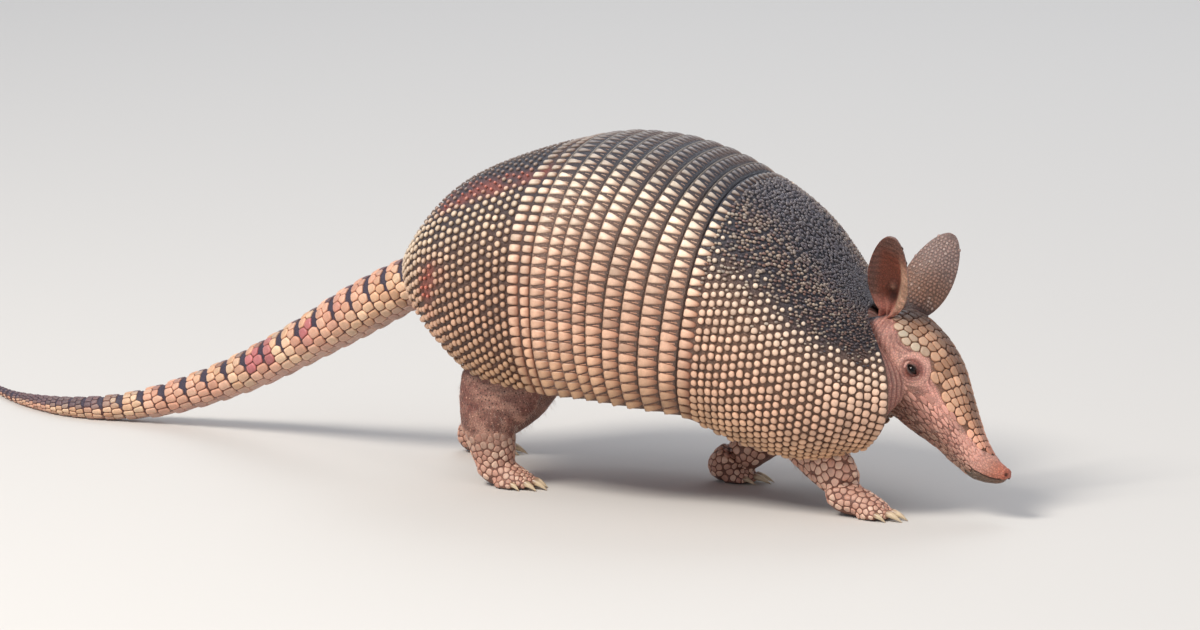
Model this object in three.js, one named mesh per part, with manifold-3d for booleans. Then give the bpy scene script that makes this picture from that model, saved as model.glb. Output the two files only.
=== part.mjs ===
// Nine-banded armadillo at life size, walking with its head lowered.
// Millimetres. +X points to the head, +Z up, the animal's right side is -Y.
// The origin is the bottom centre of the bounding box, on the floor.

import * as THREE from 'three';
import { mergeVertices } from 'three/addons/utils/BufferGeometryUtils.js';
import Module from 'manifold-3d';

const wasm = await Module();
wasm.setup();

// ---------------------------------------------------------------- driving dimensions

const GAP = 0.4;               // clearance between neighbouring pieces
const TO_BOX_CENTRE = [96.9, -12.8, 0];   // brings the middle of the bounding box over the origin
const SHELL_THICKNESS = 3.6;
const TAIL_RIM_THICKNESS = 1.6;  // the plate thins towards the tail hole
const PELVIC_ROWS = 8;         // facets of the two shields from back to front
const SCAPULAR_ROWS = 9;
const SHELL_COLUMNS = 20;      // facets from one lower edge of the shell to the other
const SHELL_ROUNDNESS = 0.85;  // exponent of the rib curve; 1 is an ellipse, less is squarer
const TUCK = 0.75;             // depth below the widest line, as a share of the height above it
const BAND_COUNT = 9;
const FIRST_BAND = 3.09;       // station where the pelvic shield ends and the first band starts
const BAND_PITCHES = [0.30, 0.33, 0.33, 0.29, 0.35, 0.32, 0.32, 0.32, 0.28];
const BAND_GAP = 0.02;         // clearance between bands, in stations

// Ribs of the shell from the tail hole (station 0) to the neck opening (station 9):
// x and z of the rib's widest point, height above it, half-width, forward lean of the rib in
// degrees, how far it wraps below the widest point in degrees, forward bow of its two ends.
const SHELL_RIBS = [
  [-95, 95.5, 22.0, 20.5, -34, 42, 0],
  [-87, 92.0, 37.0, 44.0, -27, 44, 4],
  [-58, 93.0, 68.0, 65.5, -13, 38, 7],
  [-8, 92.5, 90.0, 74.5, -4, 30, 11],
  [19, 92.0, 93.5, 78.0, -2, 28, 16],
  [46, 90.5, 89.5, 76.5, 4, 31, 12],
  [81, 88.0, 80.0, 74.0, 7, 39, 0],
  [113, 77.0, 73.0, 73.0, 8, 46, -7],
  [147, 63.0, 58.5, 63.0, 8, 50, -15],
  [178, 60.0, 44.5, 43.5, 4, 51, -25],
];
const NECK_OPENING = SHELL_RIBS.length - 1;
const SHOULDER_LEAD = 5;       // how far the stride brings the right shoulder ahead
const SHOULDER_LAG = 19;       // and how far it holds the left shoulder back
const SHOULDER_START = 6;      // station where that shift starts

const TRUNK_FIRST_RIB = 0.5;
const TRUNK_LAST_RIB = 8.92;
const TRUNK_EDGE = 0.02;       // share of the rib's length that the flesh leaves free at its ends
const TRUNK_STEPS = 9;         // lengths of the trunk between its first and last ring
const BACK_FACETS = 13;
const BELLY_FACETS = 5;
const TRUNK_CLEARANCE = 1.5;   // flesh under the plates keeps clear of their facets
const BELLY_SAG = 9;           // how far the belly hangs below the shell's lower edges
const CHEST_RISE = 24;         // how much higher than the belly the chest is at the neck
const CHEST_START = 6.2;       // station where the chest starts to rise

// Folds of skin that close the neck opening round the head: shares of the way from the
// opening to the middle of the head, and millimetres forward.
const COLLAR = [[0.2, 4.5], [0.45, 8]];
const COLLAR_MIDDLE = [8, 72];   // forward and up in the head's plane

const SIDES = { right: -1, left: 1 };

// Head and neck in the head's own upright plane: distance forward, height, half-width,
// depth above and below the centre line.
const HEAD_TURN = 5;           // degrees towards the animal's right
const HEAD_ROLL = 8.5;         // degrees, its right side up
const HEAD_ROLL_HEIGHT = 85;   // height of the line that the head is rolled about
const HEAD_ORIGIN = [166, 0, 0];
const HEAD_STATIONS = [
  [-36, 80.0, 25.0, 15.0, 22.0],
  [-18, 80.0, 24.5, 15.5, 23.5],
  [-8, 80.5, 23.5, 18.0, 25.0],
  [2, 78.5, 23.0, 26.0, 26.0],
  [13, 72.5, 23.0, 25.5, 26.0],
  [23, 64.5, 21.0, 22.8, 24.0],
  [32.5, 54.2, 17.0, 18.4, 20.2],
  [41.5, 44.2, 13.2, 14.0, 15.2],
  [49.5, 35.0, 10.6, 10.8, 11.6],
  [57, 27.8, 9.2, 9.0, 9.4],
  [65, 24.0, 7.4, 6.8, 6.6],
  [71, 22.8, 5.0, 4.6, 4.4],
];
const HEAD_SIDES = 14;
const NOSE_TIP = [74, 22.4];
const NECK_END = 2;            // station where the neck meets the back of the head
const NECK_JOINT = 0.04;       // clearance between neck and head, in stations
const NECK_STEPS = 4;
const HEAD_STEPS = 11;
const THROAT_END = 6;          // the trunk keeps clear of the head up to this station

const EYE_RADIUS = 3.6;
const EYE_PLACE = [23.2, 18.0, 72.8];   // forward, sideways, up in the head's plane

const EAR_LENGTH = 49;
const EAR_WIDTH = 25.6;
const EAR_THICKNESS = 1.6;
const EAR_SOCKET = 0.5;                 // clearance of the ear's root in the head
const EAR_ROUNDNESS = 0.5;               // exponent of the ear's outline; less is blunter
const EAR_LOWNESS = 0.85;                // exponent; less puts the widest line lower
const EAR_ROOT_SHARE = 0.02;             // share of the outline left off at the root
const EAR_TIP = 0.965;                   // share of the length where the tip is cut off
const EAR_ROWS = 7;
const EAR_COLUMNS = 5;
const EAR_CUP = 5.5;                    // depth of the hollow in the ear
const EAR_CUP_START = 0.2;              // how hollow the ear already is at its root
const EAR_ROOT = [2.7, 12.5, 99];       // forward, sideways, up in the head's plane
const EAR_SPLAY = { right: 24, left: 29 };   // degrees outwards
const EAR_LEAN = { right: 15, left: 19 };    // degrees forwards
const EAR_FACING = 10;                  // degrees that the hollow is turned back from sideways

// Tail from its root inside the body to the tip: x, y, z, radius.
const TAIL_STATIONS = [
  [-90, -1, 104.4, 12.6],
  [-109, 0, 97, 13.8],
  [-145.7, 8, 77.5, 14.2],
  [-184, 19, 55.9, 12.4],
  [-214, 28, 39.9, 11.4],
  [-244, 34, 26.2, 10.2],
  [-274, 37, 15.1, 9.1],
  [-290, 37, 10.6, 8.2],
  [-306, 35, 7.6, 7.2],
  [-325, 33, 5.8, 6.2],
  [-350, 38, 4.5, 4.9],
  [-388, 60, 2.8, 3.0],
  [-432, 102, 1.2, 1.4],
];
const TAIL_CUTS = [0, 2.0, 3.1, 4.3, 5.6, 8.4, 12];   // stations where the six lengths end

// Legs: x, y, z, half-width fore and aft, half-width sideways, from the body to the ankle.
const LEGS = {
  front_right: {
    stations: [
      [108, -22, 62, 17, 14],
      [121, -22.5, 46, 16, 12],
      [134, -25.5, 32, 14.5, 10],
      [147, -30, 21.5, 12, 10],
      [155, -33, 14.5, 9.5, 8.5],
    ],
    foot: { ankle: [162.5, -36], heading: -10, length: 15, lean: -7, toes: 'fore' },
  },
  front_left: {
    stations: [
      [112, 26, 62, 17, 14],
      [102, 27, 45, 15.5, 12.5],
      [90, 26, 30, 13, 11.5],
      [80, 23, 20, 10.5, 9.5],
      [72, 21, 13.5, 9.5, 8.5],
    ],
    foot: { ankle: [62, 20], heading: 6, length: 13, lean: 6, toes: 'fore' },
  },
  hind_right: {
    stations: [
      [-32, -35.5, 84, 25, 14.5],
      [-37, -37, 60, 23, 14.5],
      [-42, -38.5, 46, 21.5, 14.3],
      [-45, -40, 35, 16.8, 13],
      [-44.5, -40, 26, 13.2, 11],
      [-43, -40, 18, 12, 10],
      [-41.5, -40, 10.5, 9.6, 9],
    ],
    foot: { ankle: [-40, -40], heading: -8, length: 16, lean: -1, toes: 'hind' },
  },
  hind_left: {
    stations: [
      [-42, 29, 84, 23, 13],
      [-50, 32, 60, 20, 13],
      [-57.5, 35, 45, 18.5, 12.5],
      [-65, 38, 34, 17, 12.5],
      [-73.5, 38, 25, 15, 11.5],
      [-82, 37.5, 17, 12.5, 10.5],
      [-89, 37, 10.5, 9.5, 9],
    ],
    foot: { ankle: [-92, 37], heading: 8, length: 16, lean: 3, toes: 'hind' },
  },
};

// Toes of each kind of foot: sideways place, start back from the front of the palm,
// length, radius, then the claw's length and radius.
const TOES = {
  fore: [
    [-6.9, -5, 6, 2.7, 6.5, 1.6],
    [-2.5, -1.5, 7, 3.1, 9, 2.0],
    [2.5, -1.5, 7, 3.1, 9, 2.0],
    [6.9, -5, 6, 2.7, 6.5, 1.6],
  ],
  hind: [
    [-8.8, -8, 6, 2.6, 5, 1.5],
    [-5.0, -3, 7, 3.1, 7, 1.9],
    [0, -1, 7, 3.3, 8, 2.1],
    [5.0, -3, 7, 3.1, 7, 1.9],
    [8.8, -8, 6, 2.6, 5, 1.5],
  ],
};

// ---------------------------------------------------------------- materials

function material(colour, roughness) {
  return new THREE.MeshStandardMaterial({ color: colour, roughness, metalness: 0 });
}

const SHELL = material(0x9a8068, 0.55);
const SKIN = material(0xa8705c, 0.75);
const HEAD_SKIN = material(0xb98872, 0.7);
const TAIL_SKIN = material(0xc08e6c, 0.65);
const CLAW = material(0xb9a68c, 0.4);
const EYE = material(0x120c0a, 0.08);

// ---------------------------------------------------------------- curves and lofts

const degrees = (angle) => angle * Math.PI / 180;

// A row of values at station u, on a smooth curve through all the rows of a table.
function rowAt(table, u) {
  const last = table.length - 1;
  const i = Math.min(Math.max(Math.floor(u), 0), last - 1);
  const t = u - i;
  const slope = (k, c) => {
    const before = table[Math.max(k - 1, 0)][c];
    const after = table[Math.min(k + 1, last)][c];
    return (after - before) / (k === 0 || k === last ? 1 : 2);
  };
  return table[i].map((value, c) => {
    const next = table[i + 1][c];
    const rise = t * t * (3 - 2 * t);
    return value * (1 - rise) + next * rise
      + slope(i, c) * t * (1 - t) ** 2 - slope(i + 1, c) * t * t * (1 - t);
  });
}

// Faces between neighbouring rings of equal size.
function sideFaces(rings) {
  const size = rings[0].length;
  const faces = [];
  for (let i = 0; i < rings.length - 1; i++) {
    for (let j = 0; j < size; j++) {
      const k = (j + 1) % size;
      const a = i * size;
      const b = a + size;
      faces.push([a + j, b + j, b + k], [a + j, b + k, a + k]);
    }
  }
  return faces;
}

// Closed solid through rings of points, with a flat or pointed cap at each end.
function loft(rings, startPoint, endPoint) {
  const size = rings[0].length;
  const middle = (ring) => ring.reduce((sum, p) => sum.add(p), new THREE.Vector3())
    .divideScalar(ring.length);
  const points = [...rings.flat(), startPoint ?? middle(rings[0]),
    endPoint ?? middle(rings.at(-1))];
  const start = points.length - 2;
  const end = points.length - 1;
  const last = (rings.length - 1) * size;
  const faces = sideFaces(rings);
  for (let j = 0; j < size; j++) {
    const k = (j + 1) % size;
    faces.push([start, j, k], [end, last + k, last + j]);
  }
  return solid(points, faces);
}

// Closed solid of a curved sheet: each ring goes along one face and back along the other.
function sheet(rings) {
  const size = rings[0].length;
  const last = (rings.length - 1) * size;
  const faces = sideFaces(rings);
  for (let j = 0; j < size / 2 - 1; j++) {
    const back = size - 1 - j;
    faces.push([j + 1, back, j], [j + 1, back - 1, back]);
    faces.push([last + j, last + back, last + j + 1],
      [last + back, last + back - 1, last + j + 1]);
  }
  return solid(rings.flat(), faces);
}

// Geometry from points and faces, turned so that the faces point outwards.
function solid(points, faces) {
  let volume = 0;
  for (const [a, b, c] of faces) {
    volume += points[a].dot(new THREE.Vector3().crossVectors(points[b], points[c]));
  }
  const turned = volume < 0 ? faces.map(([a, b, c]) => [a, c, b]) : faces;
  const geometry = new THREE.BufferGeometry();
  geometry.setAttribute('position',
    new THREE.Float32BufferAttribute(points.flatMap((p) => [p.x, p.y, p.z]), 3));
  geometry.setIndex(turned.flat());
  return geometry;
}

// Ring of points round a centre, with its own half-width and depths above and below.
function ring(centre, side, up, halfWidth, above, below, count) {
  return Array.from({ length: count }, (_, i) => {
    const angle = 2 * Math.PI * i / count;
    const height = Math.sin(angle);
    return centre.clone()
      .addScaledVector(side, Math.cos(angle) * halfWidth)
      .addScaledVector(up, height * (height > 0 ? above : below));
  });
}

// Rings along a table of stations; read(row) gives the centre, half-width, above and below.
function ringsAlong(table, read, steps, count, sideways) {
  const step = 0.01;
  return steps.map((u) => {
    const row = read(rowAt(table, u));
    const before = read(rowAt(table, Math.max(u - step, 0))).centre;
    const after = read(rowAt(table, Math.min(u + step, table.length - 1))).centre;
    const along = after.sub(before).normalize();
    const side = sideways.clone().addScaledVector(along, -sideways.dot(along)).normalize();
    const up = new THREE.Vector3().crossVectors(along, side);
    return ring(row.centre, side, up, row.halfWidth, row.above, row.below, count);
  });
}

const evenly = (from, to, count) => Array.from({ length: count + 1 },
  (_, i) => from + (to - from) * i / count);

// ---------------------------------------------------------------- joining and cutting

function toManifold(geometry) {
  const bare = geometry.clone();
  bare.deleteAttribute('normal');
  bare.deleteAttribute('uv');
  const merged = mergeVertices(bare, 1e-4);
  return new wasm.Manifold(new wasm.Mesh({
    numProp: 3,
    vertProperties: new Float32Array(merged.attributes.position.array),
    triVerts: new Uint32Array(merged.index.array),
  }));
}

function fromManifold(manifold) {
  const mesh = manifold.getMesh();
  const geometry = new THREE.BufferGeometry();
  geometry.setAttribute('position', new THREE.BufferAttribute(mesh.vertProperties, 3));
  geometry.setIndex(new THREE.BufferAttribute(mesh.triVerts, 1));
  return geometry;
}

const join = (shapes) => fromManifold(shapes.map(toManifold).reduce((a, b) => a.add(b)));
const cut = (shape, tools) => fromManifold(
  tools.map(toManifold).reduce((a, b) => a.subtract(b), toManifold(shape)));

// Everything below the floor, to give soles and the resting tail their small flats.
function belowFloor() {
  const size = 1200;
  return new THREE.BoxGeometry(size, size, size).translate(0, 0, -size / 2);
}

// ---------------------------------------------------------------- shell

function ribPoint(u, angle) {
  const [x, z, height, halfWidth, lean, , bow] = rowAt(SHELL_RIBS, u);
  const across = Math.sign(Math.cos(angle)) * Math.abs(Math.cos(angle)) ** SHELL_ROUNDNESS;
  const rise = Math.abs(Math.sin(angle)) ** SHELL_ROUNDNESS;
  const up = height * (Math.sin(angle) < 0 ? -TUCK * rise : rise);
  const tilt = degrees(lean);
  const shoulder = Math.max(u - SHOULDER_START, 0) / (NECK_OPENING - SHOULDER_START);
  const lead = (across > 0 ? SHOULDER_LEAD : SHOULDER_LAG) * shoulder ** 2 * across;
  return new THREE.Vector3(
    x + up * Math.sin(tilt) + bow * Math.sin(angle) ** 2 + lead,
    -halfWidth * across,
    z + up * Math.cos(tilt));
}

// Point on the shell at a share (0 to 1) of the way from its right lower edge over the back
// to its left lower edge, moved inwards by a depth.
function shellPoint(u, share, depth) {
  const wrap = degrees(rowAt(SHELL_RIBS, u)[5]);
  const angle = -wrap + share * (Math.PI + 2 * wrap);
  const step = 0.02;
  const clamp = (v) => Math.min(Math.max(v, 0), NECK_OPENING);
  const along = ribPoint(clamp(u + step), angle).sub(ribPoint(clamp(u - step), angle));
  const around = ribPoint(u, angle + step).sub(ribPoint(u, angle - step));
  const inwards = around.cross(along).normalize();
  return ribPoint(u, angle).addScaledVector(inwards, depth);
}

const plateThickness = (u) => TAIL_RIM_THICKNESS
  + (SHELL_THICKNESS - TAIL_RIM_THICKNESS) * Math.min(u, 1);

// One plate of the shell between two stations, as an arch.
function shellPlate(from, to, rows) {
  const shares = evenly(0, 1, SHELL_COLUMNS);
  return sheet(evenly(from, to, rows).map((u) => [
    ...shares.map((s) => shellPoint(u, s, 0)),
    ...shares.map((s) => shellPoint(u, s, plateThickness(u))).reverse(),
  ]));
}

// ---------------------------------------------------------------- trunk

// Ring of the trunk inside the shell, closed below by the hanging belly.
function trunkRing(u) {
  const depth = SHELL_THICKNESS + TRUNK_CLEARANCE;
  const rise = CHEST_RISE * Math.max(u - CHEST_START, 0) / (TRUNK_LAST_RIB - CHEST_START);
  const back = evenly(TRUNK_EDGE, 1 - TRUNK_EDGE, BACK_FACETS).map((s) => shellPoint(u, s, depth));
  const right = back[0];
  const left = back.at(-1);
  const belly = evenly(0, 1, BELLY_FACETS).slice(1, -1).map((t) => {
    const point = left.clone().lerp(right, t);
    point.z -= (BELLY_SAG - rise) * 4 * t * (1 - t);
    return point;
  });
  return [...back, ...belly];
}

function trunkBody() {
  const rings = evenly(TRUNK_FIRST_RIB, TRUNK_LAST_RIB, TRUNK_STEPS).map(trunkRing);
  const middle = fromHead(COLLAR_MIDDLE[0], 0, COLLAR_MIDDLE[1]);
  const collar = COLLAR.map(([share, forward]) => rings.at(-1).map((point) => {
    const place = point.clone().lerp(middle, share);
    place.x = point.x + forward;
    return place;
  }));
  return loft([...rings, ...collar]);
}

// ---------------------------------------------------------------- head and neck

// From the head's upright plane to the model's axes; side is positive to the left.
function fromHead(forward, side, height) {
  const turn = degrees(-HEAD_TURN);
  const roll = degrees(HEAD_ROLL);
  const up = height - HEAD_ROLL_HEIGHT;
  const out = side * Math.cos(roll) + up * Math.sin(roll);
  return new THREE.Vector3(
    HEAD_ORIGIN[0] + forward * Math.cos(turn) - out * Math.sin(turn),
    HEAD_ORIGIN[1] + forward * Math.sin(turn) + out * Math.cos(turn),
    HEAD_ROLL_HEIGHT + up * Math.cos(roll) - side * Math.sin(roll));
}

const headSide = () => fromHead(0, 1, 0).sub(fromHead(0, 0, 0));

function headRings(from, to, count, extra = 0) {
  const read = ([forward, height, halfWidth, above, below]) => ({
    centre: fromHead(forward, 0, height),
    halfWidth: halfWidth + extra,
    above: above + extra,
    below: below + extra,
  });
  return ringsAlong(HEAD_STATIONS, read, evenly(from, to, count), HEAD_SIDES, headSide());
}

const neckBody = () => loft(headRings(0, NECK_END, NECK_STEPS));

// Room that the trunk leaves for the neck and for the back of the head.
const throatRoom = () => loft(headRings(0, THROAT_END, 3 * NECK_STEPS, 2 * GAP));

function headBody() {
  const rings = headRings(NECK_END + NECK_JOINT, HEAD_STATIONS.length - 1, HEAD_STEPS);
  return loft(rings, undefined, fromHead(NOSE_TIP[0], 0, NOSE_TIP[1]));
}

function eyeBall(name, extra) {
  const [forward, out, up] = EYE_PLACE;
  const place = fromHead(forward, out * SIDES[name], up);
  return new THREE.SphereGeometry(EYE_RADIUS + extra, 10, 7)
    .translate(place.x, place.y, place.z);
}

// Half-width of the ear at a share of its length: narrow root, broad middle, round tip.
function earHalfWidth(t) {
  const share = EAR_ROOT_SHARE + (1 - EAR_ROOT_SHARE) * t;
  const bulge = Math.sin(Math.PI * Math.min(share, 1) ** EAR_LOWNESS);
  return EAR_WIDTH / 2 * bulge ** EAR_ROUNDNESS;
}

// A cupped leaf with its hollow facing outwards.
function earBlade(name, extra) {
  const side = SIDES[name];
  const splay = degrees(EAR_SPLAY[name]);
  const [forward, out, up] = EAR_ROOT;
  const root = fromHead(forward, out * side, up);
  const along = new THREE.Vector3(Math.sin(degrees(EAR_LEAN[name])),
    side * Math.sin(splay), Math.cos(splay));
  along.normalize();
  const facing = new THREE.Vector3(-Math.sin(degrees(EAR_FACING)), side, 0);
  facing.addScaledVector(along, -facing.dot(along)).normalize();
  const across = new THREE.Vector3().crossVectors(along, facing);
  const point = (t, s, face) => {
    const halfWidth = earHalfWidth(Math.max(t, 0));
    const sideways = (halfWidth + extra) * s;
    const hollow = EAR_CUP * ((sideways / halfWidth) ** 2 - 1)
      * Math.sin(Math.PI * Math.min(EAR_CUP_START + t * (1 - EAR_CUP_START), 1));
    return root.clone()
      .addScaledVector(along, EAR_LENGTH * t)
      .addScaledVector(across, sideways)
      .addScaledVector(facing, hollow + face * (EAR_THICKNESS / 2 + extra));
  };
  const below = extra > 0 ? [-extra / EAR_LENGTH] : [];
  return sheet([...below, ...evenly(0, EAR_TIP, EAR_ROWS)].map((t) => [
    ...evenly(-1, 1, EAR_COLUMNS).map((s) => point(t, s, 1)),
    ...evenly(1, -1, EAR_COLUMNS).map((s) => point(t, s, -1)),
  ]));
}

// ---------------------------------------------------------------- tail

function tailRings(from, to, count, extra = 0) {
  const read = ([x, y, z, radius]) => ({
    centre: new THREE.Vector3(x, y, z),
    halfWidth: radius + extra,
    above: radius + extra,
    below: radius + extra,
  });
  return ringsAlong(TAIL_STATIONS, read, evenly(from, to, count), 12, new THREE.Vector3(0, 1, 0));
}

// Length of the centre line between two stations close together, in mm per station.
function tailPace(u) {
  const step = 0.05;
  const at = (v) => new THREE.Vector3(...rowAt(TAIL_STATIONS, v).slice(0, 3));
  return at(u + step).distanceTo(at(u - step)) / (2 * step);
}

function tailLength(index) {
  const last = TAIL_CUTS.length - 2;
  const from = TAIL_CUTS[index];
  const to = TAIL_CUTS[index + 1];
  const margin = (u) => GAP / 2 / tailPace(u);
  const rings = tailRings(index === 0 ? from : from + margin(from),
    index === last ? to : to - margin(to), index === last ? 5 : 3);
  return cut(loft(rings), [belowFloor()]);
}

// ---------------------------------------------------------------- legs and feet

const LEG_SIDES = 12;

function legBody(leg, extra = 0) {
  const read = ([x, y, z, foreAft, sideways]) => ({
    centre: new THREE.Vector3(x, y, z),
    halfWidth: sideways + extra,
    above: foreAft + extra,
    below: foreAft + extra,
  });
  const last = leg.stations.length - 1;
  return loft(ringsAlong(leg.stations, read, evenly(0, last, last), LEG_SIDES,
    new THREE.Vector3(0, 1, 0)));
}

// Place in a foot: forward and sideways of the ankle, and height over the floor.
function footPlace(foot, forward, side, height) {
  const [x, y] = foot.ankle;
  const turn = degrees(foot.heading);
  return new THREE.Vector3(x + forward * Math.cos(turn) - side * Math.sin(turn),
    y + forward * Math.sin(turn) + side * Math.cos(turn), height);
}

// Tapered finger through a table of forward, sideways, height and radius.
function finger(foot, table, sides, tip) {
  const read = ([forward, side, height, radius]) => ({
    centre: footPlace(foot, forward, side, height),
    halfWidth: radius,
    above: radius,
    below: radius,
  });
  const across = footPlace(foot, 0, 1, 0).sub(footPlace(foot, 0, 0, 0));
  const rings = ringsAlong(table, read, evenly(0, table.length - 1, table.length - 1), sides,
    across);
  return loft(rings, undefined, tip);
}

const PALM_SPREAD = 0.9;       // how much wider the palm is at the toes than a round finger
const SOLE_SINK = 0.5;         // soles start this far below the floor and are cut flat

const PALM_SIDES = 8;
const TOE_SIDES = 6;
const CLAW_SIDES = 6;

// Palm from the ankle to the toes: share of the ankle's lean, millimetres forward, share of
// the foot's length, height over the sunk sole and radius.
const PALM_SHAPE = [
  [1, 0, 0, 15.5, 7.6],
  [0.5, -2.5, 0, 9.5, 7.8],
  [0, 0, 0.25, 7.2, 7.2],
  [0, 0, 1, 4.2, 4.2],
];

// Toe: millimetres forward of its start, and shares of its length, side and radius.
const TOE_SHAPE = [
  [-5, 0, 0.85, 0.9],
  [0, 0.55, 1, 1],
  [0, 1, 1.04, 0.72],
];

// Claw: shares of its length and of its toe's side, share of its radius and millimetres that
// its middle is high, and share of its radius.
const CLAW_SHAPE = [
  [0, 1.04, 1, 0.9, 1],
  [0.5, 1.08, 0.8, 0.9, 0.72],
  [0.85, 1.1, 0.42, 0.15, 0.4],
];
const CLAW_TIP_HEIGHT = 0.05;

// Ankle and palm as one bent body, with the toes that it is joined to.
function footParts(foot) {
  const palm = finger(foot, PALM_SHAPE.map(([lean, forward, share, height, radius]) => [
    foot.lean * lean + forward + foot.length * share, 0, height - SOLE_SINK, radius,
  ]), PALM_SIDES);
  const across = footPlace(foot, 0, 1, 0).sub(footPlace(foot, 0, 0, 0));
  widen(palm, footPlace(foot, 0, 0, 0), across, foot.length);
  return [palm, ...TOES[foot.toes].map((toe) => toeBody(foot, toe))];
}

// Spreads a palm sideways, more towards its toes.
function widen(geometry, ankle, across, length) {
  const position = geometry.attributes.position;
  const point = new THREE.Vector3();
  for (let i = 0; i < position.count; i++) {
    point.fromBufferAttribute(position, i);
    const reach = point.clone().sub(ankle).setZ(0).length() / length;
    const offset = point.clone().sub(ankle).dot(across);
    point.addScaledVector(across, offset * PALM_SPREAD * Math.min(reach, 1) ** 2);
    position.setXYZ(i, point.x, point.y, point.z);
  }
}

function toeBody(foot, [side, back, length, radius]) {
  const start = foot.length + back;
  const low = radius - SOLE_SINK;
  return finger(foot, TOE_SHAPE.map(([forward, share, sideShare, radiusShare]) => [
    start + forward + length * share, side * sideShare, low, radius * radiusShare,
  ]), TOE_SIDES);
}

function clawBody(foot, [side, back, length, , clawLength, clawRadius]) {
  const start = foot.length + back + length + GAP;
  const rows = CLAW_SHAPE.map(([share, sideShare, highShare, high, radiusShare]) => [
    start + clawLength * share, side * sideShare, clawRadius * highShare + high,
    clawRadius * radiusShare,
  ]);
  const tip = footPlace(foot, start + clawLength, rows.at(-1)[1], CLAW_TIP_HEIGHT);
  return finger(foot, rows, CLAW_SIDES, tip);
}

// ---------------------------------------------------------------- assembly

const armadillo = new THREE.Group();

function add(name, geometry, finish) {
  const mesh = new THREE.Mesh(geometry, finish);
  mesh.name = name;
  armadillo.add(mesh);
}

function addShell() {
  const half = BAND_GAP / 2;
  add('shell_pelvic', shellPlate(0, FIRST_BAND - half, PELVIC_ROWS), SHELL);
  let start = FIRST_BAND;
  for (let i = 0; i < BAND_COUNT; i++) {
    const end = start + BAND_PITCHES[i];
    add(`band_${i + 1}`, shellPlate(start + half, end - half, 1), SHELL);
    start = end;
  }
  add('shell_scapular', shellPlate(start + half, NECK_OPENING, SCAPULAR_ROWS), SHELL);
}

function addTrunk() {
  const roots = Object.values(LEGS).map((leg) => legBody(leg, GAP));
  const tailRoot = loft(tailRings(0, 1, 2, GAP));
  add('trunk', cut(trunkBody(), [...roots, tailRoot, throatRoom()]), SKIN);
}

function addHead() {
  const names = Object.keys(SIDES);
  const earRoots = names.map((name) => earBlade(name, EAR_SOCKET));
  const sockets = names.map((name) => eyeBall(name, GAP));
  add('neck', neckBody(), SKIN);
  add('head', cut(headBody(), [...sockets, ...earRoots]), HEAD_SKIN);
  for (const name of names) {
    add(`eye_${name}`, eyeBall(name, 0), EYE);
    add(`ear_${name}`, earBlade(name, 0), HEAD_SKIN);
  }
}

function addTail() {
  for (let i = 0; i < TAIL_CUTS.length - 1; i++) {
    add(`tail_${i + 1}`, tailLength(i), TAIL_SKIN);
  }
}

function addLegs() {
  for (const [name, leg] of Object.entries(LEGS)) {
    const foot = cut(join(footParts(leg.foot)), [belowFloor(), legBody(leg, GAP)]);
    add(`leg_${name}`, legBody(leg), SKIN);
    add(`foot_${name}`, foot, SKIN);
    TOES[leg.foot.toes].forEach((toe, i) => {
      add(`claw_${name}_${i + 1}`, clawBody(leg.foot, toe), CLAW);
    });
  }
}

armadillo.position.set(...TO_BOX_CENTRE);
addShell();
addTrunk();
addHead();
addTail();
addLegs();

export default armadillo;
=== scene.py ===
# Looks of a life-size nine-banded armadillo: horn plates, scutes, skin, eyes and claws.
# Shapes are worked out in millimetres in the animal's own axes (+X to the head, +Z up, its right
# side is -Y), and every mesh is written in metres in the frame of the solids.

import math

import bpy
import numpy as np
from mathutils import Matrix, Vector
from mathutils.bvhtree import BVHTree


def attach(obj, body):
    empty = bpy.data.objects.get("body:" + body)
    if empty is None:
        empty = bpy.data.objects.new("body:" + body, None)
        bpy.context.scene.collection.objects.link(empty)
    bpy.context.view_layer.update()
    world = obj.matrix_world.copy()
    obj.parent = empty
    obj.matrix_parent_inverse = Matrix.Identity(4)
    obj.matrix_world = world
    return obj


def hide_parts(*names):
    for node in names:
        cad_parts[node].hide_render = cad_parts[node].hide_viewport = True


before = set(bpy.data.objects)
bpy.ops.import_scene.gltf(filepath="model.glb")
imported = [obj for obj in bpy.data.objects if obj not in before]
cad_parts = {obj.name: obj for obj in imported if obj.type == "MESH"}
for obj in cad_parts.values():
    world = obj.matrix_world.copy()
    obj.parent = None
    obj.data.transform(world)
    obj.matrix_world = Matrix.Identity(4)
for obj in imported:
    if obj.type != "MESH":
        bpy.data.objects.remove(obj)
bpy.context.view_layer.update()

METRE = 0.001
TO_BOX_CENTRE = np.array([96.9, -12.8, 0.0])
TURN = 2 * math.pi
DARKEST = 0.002          # no colour goes below this
MAP_MARGIN = 0.04
RANDOM = np.random.default_rng(20)

# ---------------------------------------------------------------- dimensions of the solids

SHELL_ROUNDNESS = 0.85
TUCK = 0.75
SHELL_RIBS = np.array([
    [-95, 95.5, 22.0, 20.5, -34, 42, 0],
    [-87, 92.0, 37.0, 44.0, -27, 44, 4],
    [-58, 93.0, 68.0, 65.5, -13, 38, 7],
    [-8, 92.5, 90.0, 74.5, -4, 30, 11],
    [19, 92.0, 93.5, 78.0, -2, 28, 16],
    [46, 90.5, 89.5, 76.5, 4, 31, 12],
    [81, 88.0, 80.0, 74.0, 7, 39, 0],
    [113, 77.0, 73.0, 73.0, 8, 46, -7],
    [147, 63.0, 58.5, 63.0, 8, 50, -15],
    [178, 60.0, 44.5, 43.5, 4, 51, -25],
], float)
NECK_OPENING = 9
SHOULDER_LEAD = 5
SHOULDER_LAG = 19
SHOULDER_START = 6
FIRST_BAND = 3.09
BAND_PITCHES = [0.30, 0.33, 0.33, 0.29, 0.35, 0.32, 0.32, 0.32, 0.28]
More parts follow.
